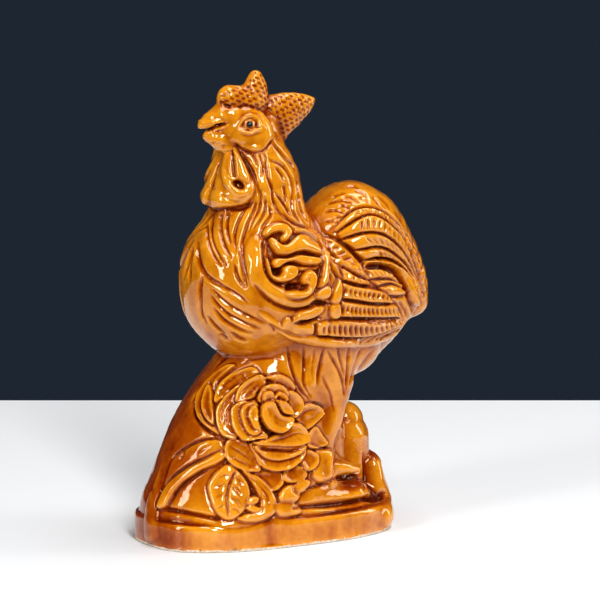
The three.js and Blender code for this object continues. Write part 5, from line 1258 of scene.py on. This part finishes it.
def comb_pit_tree():
    """Geometry Nodes tree that presses rows of small pits into both sides of the comb."""
    tree = bpy.data.node_groups.new("Comb pits", "GeometryNodeTree")
    tree.interface.new_socket("Geometry", in_out="INPUT", socket_type="NodeSocketGeometry")
    for name in ("Spacing", "Pit radius", "Pit depth"):
        socket = tree.interface.new_socket(name, in_out="INPUT", socket_type="NodeSocketFloat")
        socket.subtype = "DISTANCE"
    tree.interface.new_socket("Seed", in_out="INPUT", socket_type="NodeSocketInt")
    tree.interface.new_socket("Material", in_out="INPUT", socket_type="NodeSocketMaterial")
    tree.interface.new_socket("Geometry", in_out="OUTPUT", socket_type="NodeSocketGeometry")
    given = add_node(tree, "NodeGroupInput").outputs
    # A field of points in the side plane, each second row moved half a space
    rows = COMB_FIELD_ROWS
    span = add_node(tree, "ShaderNodeMath", {0: given["Spacing"]}, operation="MULTIPLY",
                    inputs={1: rows - 1}).outputs[0]
    field = add_node(tree, "GeometryNodeMeshGrid", {"Size X": span, "Size Y": span},
                     inputs={"Vertices X": rows, "Vertices Y": rows}).outputs["Mesh"]
    number = add_node(tree, "GeometryNodeInputIndex").outputs[0]
    odd = add_node(tree, "ShaderNodeMath", {0: number}, operation="MODULO", inputs={1: 2.0}).outputs[0]
    aside = add_node(tree, "ShaderNodeMath", {0: odd, 1: given["Spacing"]}, operation="MULTIPLY").outputs[0]
    aside = add_node(tree, "ShaderNodeMath", {0: aside}, operation="MULTIPLY", inputs={1: 0.5}).outputs[0]
    least, most = (-PIT_WANDER, -PIT_WANDER, 0.0), (PIT_WANDER, PIT_WANDER, 0.0)
    wander = add_node(tree, "FunctionNodeRandomValue", {"Seed": given["Seed"]}, data_type="FLOAT_VECTOR",
                      inputs={0: least, 1: most}).outputs[0]
    wander = add_node(tree, "ShaderNodeVectorMath", {0: wander, "Scale": given["Spacing"]},
                      operation="SCALE").outputs[0]
    step = add_node(tree, "ShaderNodeCombineXYZ", {"X": aside}).outputs[0]
    step = add_node(tree, "ShaderNodeVectorMath", {0: step, 1: wander}, operation="ADD").outputs[0]
    field = add_node(tree, "GeometryNodeSetPosition", {"Geometry": field, "Offset": step}).outputs[0]
    centre = tuple(to_metres(np.array([COMB_MIDDLE]))[0])
    upright = (math.pi / 2, COMB_ROW_SLOPE, 0.0)
    field = add_node(tree, "GeometryNodeTransform", {"Geometry": field},
                     inputs={"Translation": centre, "Rotation": upright}).outputs[0]
    # How near each point of the figure is to one of them, seen from the side
    here = add_node(tree, "GeometryNodeInputPosition").outputs[0]
    flat = add_node(tree, "ShaderNodeVectorMath", {0: here}, operation="MULTIPLY",
                    inputs={1: (1.0, 0.0, 1.0)}).outputs[0]
    near = add_node(tree, "GeometryNodeProximity", target_element="POINTS")
    tree.links.new(field, near.inputs[0])
    tree.links.new(flat, near.inputs["Sample Position"])
    share = add_node(tree, "ShaderNodeMapRange",
                     {"Value": near.outputs["Distance"], "From Max": given["Pit radius"]},
                     interpolation_type="SMOOTHERSTEP",
                     inputs={"From Min": 0.0, "To Min": 1.0, "To Max": 0.0}).outputs[0]
    mask = add_node(tree, "GeometryNodeInputNamedAttribute", data_type="FLOAT",
                    inputs={"Name": "comb"}).outputs["Attribute"]
    share = add_node(tree, "ShaderNodeMath", {0: share, 1: mask}, operation="MULTIPLY").outputs[0]
    sunk = add_node(tree, "ShaderNodeMath", {0: share, 1: given["Pit depth"]},
                    operation="MULTIPLY").outputs[0]
    sunk = add_node(tree, "ShaderNodeMath", {0: sunk}, operation="MULTIPLY", inputs={1: -1.0}).outputs[0]
    normal = add_node(tree, "GeometryNodeInputNormal").outputs[0]
    inward = add_node(tree, "ShaderNodeVectorMath", {0: normal, "Scale": sunk},
                      operation="SCALE").outputs[0]
    pool_and_shade = add_node(tree, "GeometryNodeInputNamedAttribute", data_type="FLOAT",
                    inputs={"Name": "pool_and_shade"}).outputs["Attribute"]
    filled = add_node(tree, "ShaderNodeMath", {0: share, 2: pool_and_shade}, operation="MULTIPLY_ADD",
                      inputs={1: PIT_FILL}).outputs[0]
    shape = add_node(tree, "GeometryNodeStoreNamedAttribute",
                     {"Geometry": given["Geometry"], "Value": filled},
                     data_type="FLOAT", domain="POINT", inputs={"Name": "pool_and_shade"}).outputs[0]
    shape = add_node(tree, "GeometryNodeSetPosition", {"Geometry": shape, "Offset": inward}).outputs[0]
    shape = add_node(tree, "GeometryNodeRealizeInstances", {0: shape}).outputs[0]
    shape = add_node(tree, "GeometryNodeSetMaterial",
                     {"Geometry": shape, "Material": given["Material"]}).outputs[0]
    add_node(tree, "NodeGroupOutput", {0: shape})
    return tree


def add_comb_pits(piece, sizes, material):
    """Gives the piece the modifier that presses the pits."""
    tree = comb_pit_tree()
    modifier = piece.modifiers.new("Comb pits", "NODES")
    modifier.node_group = tree
    values = {"Spacing": sizes.pit_spacing, "Pit radius": sizes.pit_radius, "Pit depth": sizes.pit_depth,
              "Seed": PIT_SEED, "Material": material}
    for socket in tree.interface.items_tree:
        if socket.in_out == "INPUT" and socket.name in values:
            modifier[socket.identifier] = values[socket.name]


def wiped_foot(piece, line):
    """Cuts the figure round its foot and gives what is below the cut the second material."""
    mesh = bmesh.new()
    mesh.from_mesh(piece.data)
    bmesh.ops.bisect_plane(mesh, geom=mesh.verts[:] + mesh.edges[:] + mesh.faces[:], dist=CUT_REACH,
                           plane_co=(0, 0, line), plane_no=(0, 0, 1))
    for vertex in mesh.verts:
        if abs(vertex.co.z - line) < 2 * CUT_REACH:
            x, y = vertex.co.x / MM, vertex.co.y / MM
            wave = math.sin(x * 0.31 + y * 0.17) + 0.6 * math.sin(x * 0.83 - y * 0.6)
            vertex.co.z += WIPED_WAVE * MM * wave
    for face in mesh.faces:
        if face.calc_center_median().z < line:
            face.material_index = 1
    mesh.to_mesh(piece.data)
    mesh.free()


# Sizes and colours that a user would change
class FigurineSizes(bpy.types.PropertyGroup):
    """Sizes and colours of the figurine"""

    mesh_step: bpy.props.FloatProperty(
        name="Mesh step", description="Spacing of the points that the form is found on",
        default=0.42 * MM, unit="LENGTH")
    triangles: bpy.props.IntProperty(
        name="Triangles", description="Triangles kept in the figure's mesh", default=192000)
    foot_line: bpy.props.FloatProperty(
        name="Foot line", description="Height to which the glaze is wiped off the foot",
        default=0.9 * MM, unit="LENGTH")
    pit_spacing: bpy.props.FloatProperty(
        name="Pit spacing", description="Distance between the pits on the comb",
        default=1.4 * MM, unit="LENGTH")
    pit_radius: bpy.props.FloatProperty(
        name="Pit radius", description="Radius of each pit on the comb", default=0.8 * MM, unit="LENGTH")
    pit_depth: bpy.props.FloatProperty(
        name="Pit depth", description="Depth of each pit on the comb", default=0.4 * MM, unit="LENGTH")
    pupil_radius: bpy.props.FloatProperty(
        name="Pupil radius", description="Radius of the black pupil", default=1.2 * MM, unit="LENGTH")
    thin_colour: bpy.props.FloatVectorProperty(
        name="Thin glaze", description="Colour where the glaze is thinnest", subtype="COLOR", size=4,
        default=linear("#DE961A"))
    glaze_colour: bpy.props.FloatVectorProperty(
        name="Glaze", description="Main colour of the glaze", subtype="COLOR", size=4,
        default=linear("#C07207"))
    deep_colour: bpy.props.FloatVectorProperty(
        name="Deep glaze", description="Colour where the glaze is thicker", subtype="COLOR", size=4,
        default=linear("#A04900"))
    pooled_colour: bpy.props.FloatVectorProperty(
        name="Pooled glaze", description="Colour where the glaze pools in the carving",
        subtype="COLOR", size=4, default=linear("#7A2400"))
    darkest_colour: bpy.props.FloatVectorProperty(
        name="Darkest glaze", description="Colour in the deepest pits", subtype="COLOR", size=4,
        default=linear("#501200"))
    tint: bpy.props.FloatVectorProperty(
        name="Glaze tint", description="Colour that the glaze takes on where it is seen at a slant",
        subtype="COLOR", size=4, default=linear("#FFEFD2"))
    warmth: bpy.props.FloatVectorProperty(
        name="Warmth", description="Colour of what the thick glaze reflects in the carving",
        subtype="COLOR", size=4, default=linear("#FFC480"))


class StageSizes(bpy.types.PropertyGroup):
    """Sizes and colours of the stage"""

    floor_width: bpy.props.FloatProperty(
        name="Floor width", description="Width of the floor, across the view", default=1.2, unit="LENGTH")
    floor_front: bpy.props.FloatProperty(
        name="Floor in front", description="Reach of the floor toward the camera",
        default=0.2, unit="LENGTH")
    floor_behind: bpy.props.FloatProperty(
        name="Floor behind", description="Reach of the floor away from the camera",
        default=0.217, unit="LENGTH")
    floor_colour: bpy.props.FloatVectorProperty(
        name="Floor", description="Colour of the floor", subtype="COLOR", size=4, default=linear("#F1F2F3"))
    backdrop_colour: bpy.props.FloatVectorProperty(
        name="Backdrop", description="Colour of the surroundings", subtype="COLOR", size=4,
        default=linear("#1E2631"))
    camera_distance: bpy.props.FloatProperty(
        name="Camera distance", description="Distance from the camera to the figurine",
        default=3.0, unit="LENGTH")


class FIGURINE_OT_glazed_figure(bpy.types.Operator):
    """Build the rooster, its rock, peony and plinth as one glazed piece"""

    bl_idname = "figurine.glazed_figure"
    bl_label = "Glazed figure"

    def execute(self, context):
        sizes = context.scene.figurine_sizes
        points, faces = find_surface(smooth_form, FORM_LOW, FORM_HIGH, sizes.mesh_step / MM)
        points[:, 2] = np.maximum(points[:, 2], 0)
        points, outward = on_the_form(smooth_form, points)
        points = carve(points, outward)
        points[:, 2] = np.maximum(points[:, 2], 0)
        points, pool_and_shade = settle(points, faces, outward)
        piece = new_object("glazed_rooster", to_metres(points), faces)
        add_attribute(piece, "pool_and_shade", pool_and_shade)
        add_attribute(piece, "comb", comb_mask(points, outward))
        glaze = glaze_material(sizes)
        add_comb_pits(piece, sizes, glaze)
        thin = piece.modifiers.new("Fewer triangles", "DECIMATE")
        thin.ratio = min(1.0, sizes.triangles / (2 * len(faces)))
        thin.use_collapse_triangulate = True
        baked(piece)
        piece.data.attributes.remove(piece.data.attributes["comb"])
        piece.data.materials.clear()
        piece.data.materials.append(glaze)
        piece.data.materials.append(clay_material())
        wiped_foot(piece, sizes.foot_line)
        piece.data.shade_smooth()
        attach(piece, "root")
        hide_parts("rooster_figure")
        return {"FINISHED"}


class FIGURINE_OT_pupils(bpy.types.Operator):
    """Build the black pupils on both eyes"""

    bl_idname = "figurine.pupils"
    bl_label = "Pupils"

    def execute(self, context):
        sizes = context.scene.figurine_sizes
        right, up, away = toward_camera()
        eye = right * EYE_CENTRE[0] + up * EYE_CENTRE[1]
        start = to_metres(np.array([eye - away * EYE_RAY_START]))[0]
        figure = bpy.data.objects["glazed_rooster"]
        met, place, normal, _ = figure.ray_cast(Vector(start), Vector(away))
        if not met:
            raise RuntimeError("The eye isn't on the head.")
        flat = Matrix.Diagonal((1, 1, PUPIL_FLATNESS, 1))
        mesh = bmesh.new()
        for side in (1, -1):
            centre = Vector((place.x, place.y * side, place.z))
            outward = Vector((normal.x, normal.y * side, normal.z))
            turn = outward.to_track_quat("Z", "Y").to_matrix().to_4x4()
            bmesh.ops.create_uvsphere(mesh, u_segments=PUPIL_SEGMENTS, v_segments=PUPIL_RINGS,
                                      radius=sizes.pupil_radius,
                                      matrix=Matrix.Translation(centre) @ turn @ flat)
        data = bpy.data.meshes.new("pupils")
        mesh.to_mesh(data)
        mesh.free()
        data.materials.append(pupil_material())
        data.shade_smooth()
        piece = bpy.data.objects.new("pupils", data)
        context.scene.collection.objects.link(piece)
        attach(piece, "root")
        return {"FINISHED"}


class FIGURINE_OT_stage(bpy.types.Operator):
    """Set the pale floor, the soft lights and the camera"""

    bl_idname = "figurine.stage"
    bl_label = "Stage"

    def execute(self, context):
        sizes = context.scene.stage_sizes
        right, _, away = toward_camera()
        across = right * sizes.floor_width / 2
        level = away * (1, 1, 0) / math.hypot(away[0], away[1])
        front, back = -level * sizes.floor_front, level * sizes.floor_behind
        corners = np.array([front - across, front + across, back + across, back - across])
        floor = new_object("floor", corners, np.array([[0, 1, 2, 3]]))
        material, tree = new_material("pale_board")
        board = add_node(tree, "ShaderNodeBsdfPrincipled", inputs={"Roughness": 0.45, "IOR": 1.45})
        board.inputs["Base Color"].default_value = tuple(sizes.floor_colour)
        add_node(tree, "ShaderNodeOutputMaterial", {"Surface": board.outputs["BSDF"]})
        floor.data.materials.append(material)
        world = bpy.data.worlds.new("studio")
        world.use_nodes = True
        surroundings = world.node_tree.nodes["Background"]
        surroundings.inputs["Color"].default_value = tuple(sizes.backdrop_colour)
        surroundings.inputs["Strength"].default_value = 1.0
        context.scene.world = world
        for name, place, size, power in LIGHTS:
            light = bpy.data.lights.new(name, "AREA")
            light.shape = "RECTANGLE"
            light.size, light.size_y = size
            light.energy = power
            lamp = bpy.data.objects.new(name, light)
            lamp.location = place
            lamp.rotation_euler = (Vector(LIT_POINT) - Vector(place)).to_track_quat("-Z", "Y").to_euler()
            context.scene.collection.objects.link(lamp)
        context.scene.collection.objects.link(self.camera(context, sizes.camera_distance))
        context.scene.view_settings.view_transform = "Standard"
        return {"FINISHED"}

    @staticmethod
    def camera(context, distance):
        """A camera at the photograph's angle and scale."""
        right, up, away = (Vector(direction) for direction in toward_camera())
        across, high = VIEW_CENTRE
        offset = Vector((PLINTH_FRONT * MM + FIGURE_LOW[0], 0, 0))
        target = (right * across + up * high) * MM + offset
        data = bpy.data.cameras.new("camera")
        data.sensor_width = 36.0
        data.lens = PIXELS_PER_MM * data.sensor_width * distance / MM / IMAGE_WIDTH
        camera = bpy.data.objects.new("camera", data)
        camera.location = target - away * distance
        camera.rotation_euler = away.to_track_quat("-Z", "Y").to_euler()
        context.scene.camera = camera
        return camera


class VIEW3D_PT_figurine(bpy.types.Panel):
    """Lists the figurine's steps and sizes"""

    bl_idname = "VIEW3D_PT_figurine"
    bl_label = "Rooster figurine"
    bl_space_type = "VIEW_3D"
    bl_region_type = "UI"
    bl_category = "Rooster"

    def draw(self, context):
        for operator in (FIGURINE_OT_glazed_figure, FIGURINE_OT_pupils, FIGURINE_OT_stage):
            self.layout.operator(operator.bl_idname)
        for group in (context.scene.figurine_sizes, context.scene.stage_sizes):
            box = self.layout.box()
            for name in group.__annotations__:
                box.prop(group, name)


CLASSES = (FigurineSizes, StageSizes, FIGURINE_OT_glazed_figure, FIGURINE_OT_pupils, FIGURINE_OT_stage,
           VIEW3D_PT_figurine)


def register():
    for item in CLASSES:
        bpy.utils.register_class(item)
    bpy.types.Scene.figurine_sizes = bpy.props.PointerProperty(type=FigurineSizes)
    bpy.types.Scene.stage_sizes = bpy.props.PointerProperty(type=StageSizes)


def unregister():
    del bpy.types.Scene.figurine_sizes
    del bpy.types.Scene.stage_sizes
    for item in reversed(CLASSES):
        bpy.utils.unregister_class(item)


def main():
    register()
    bpy.ops.figurine.glazed_figure()
    bpy.ops.figurine.pupils()
    bpy.ops.figurine.stage()


if __name__ == "__main__":
    main()
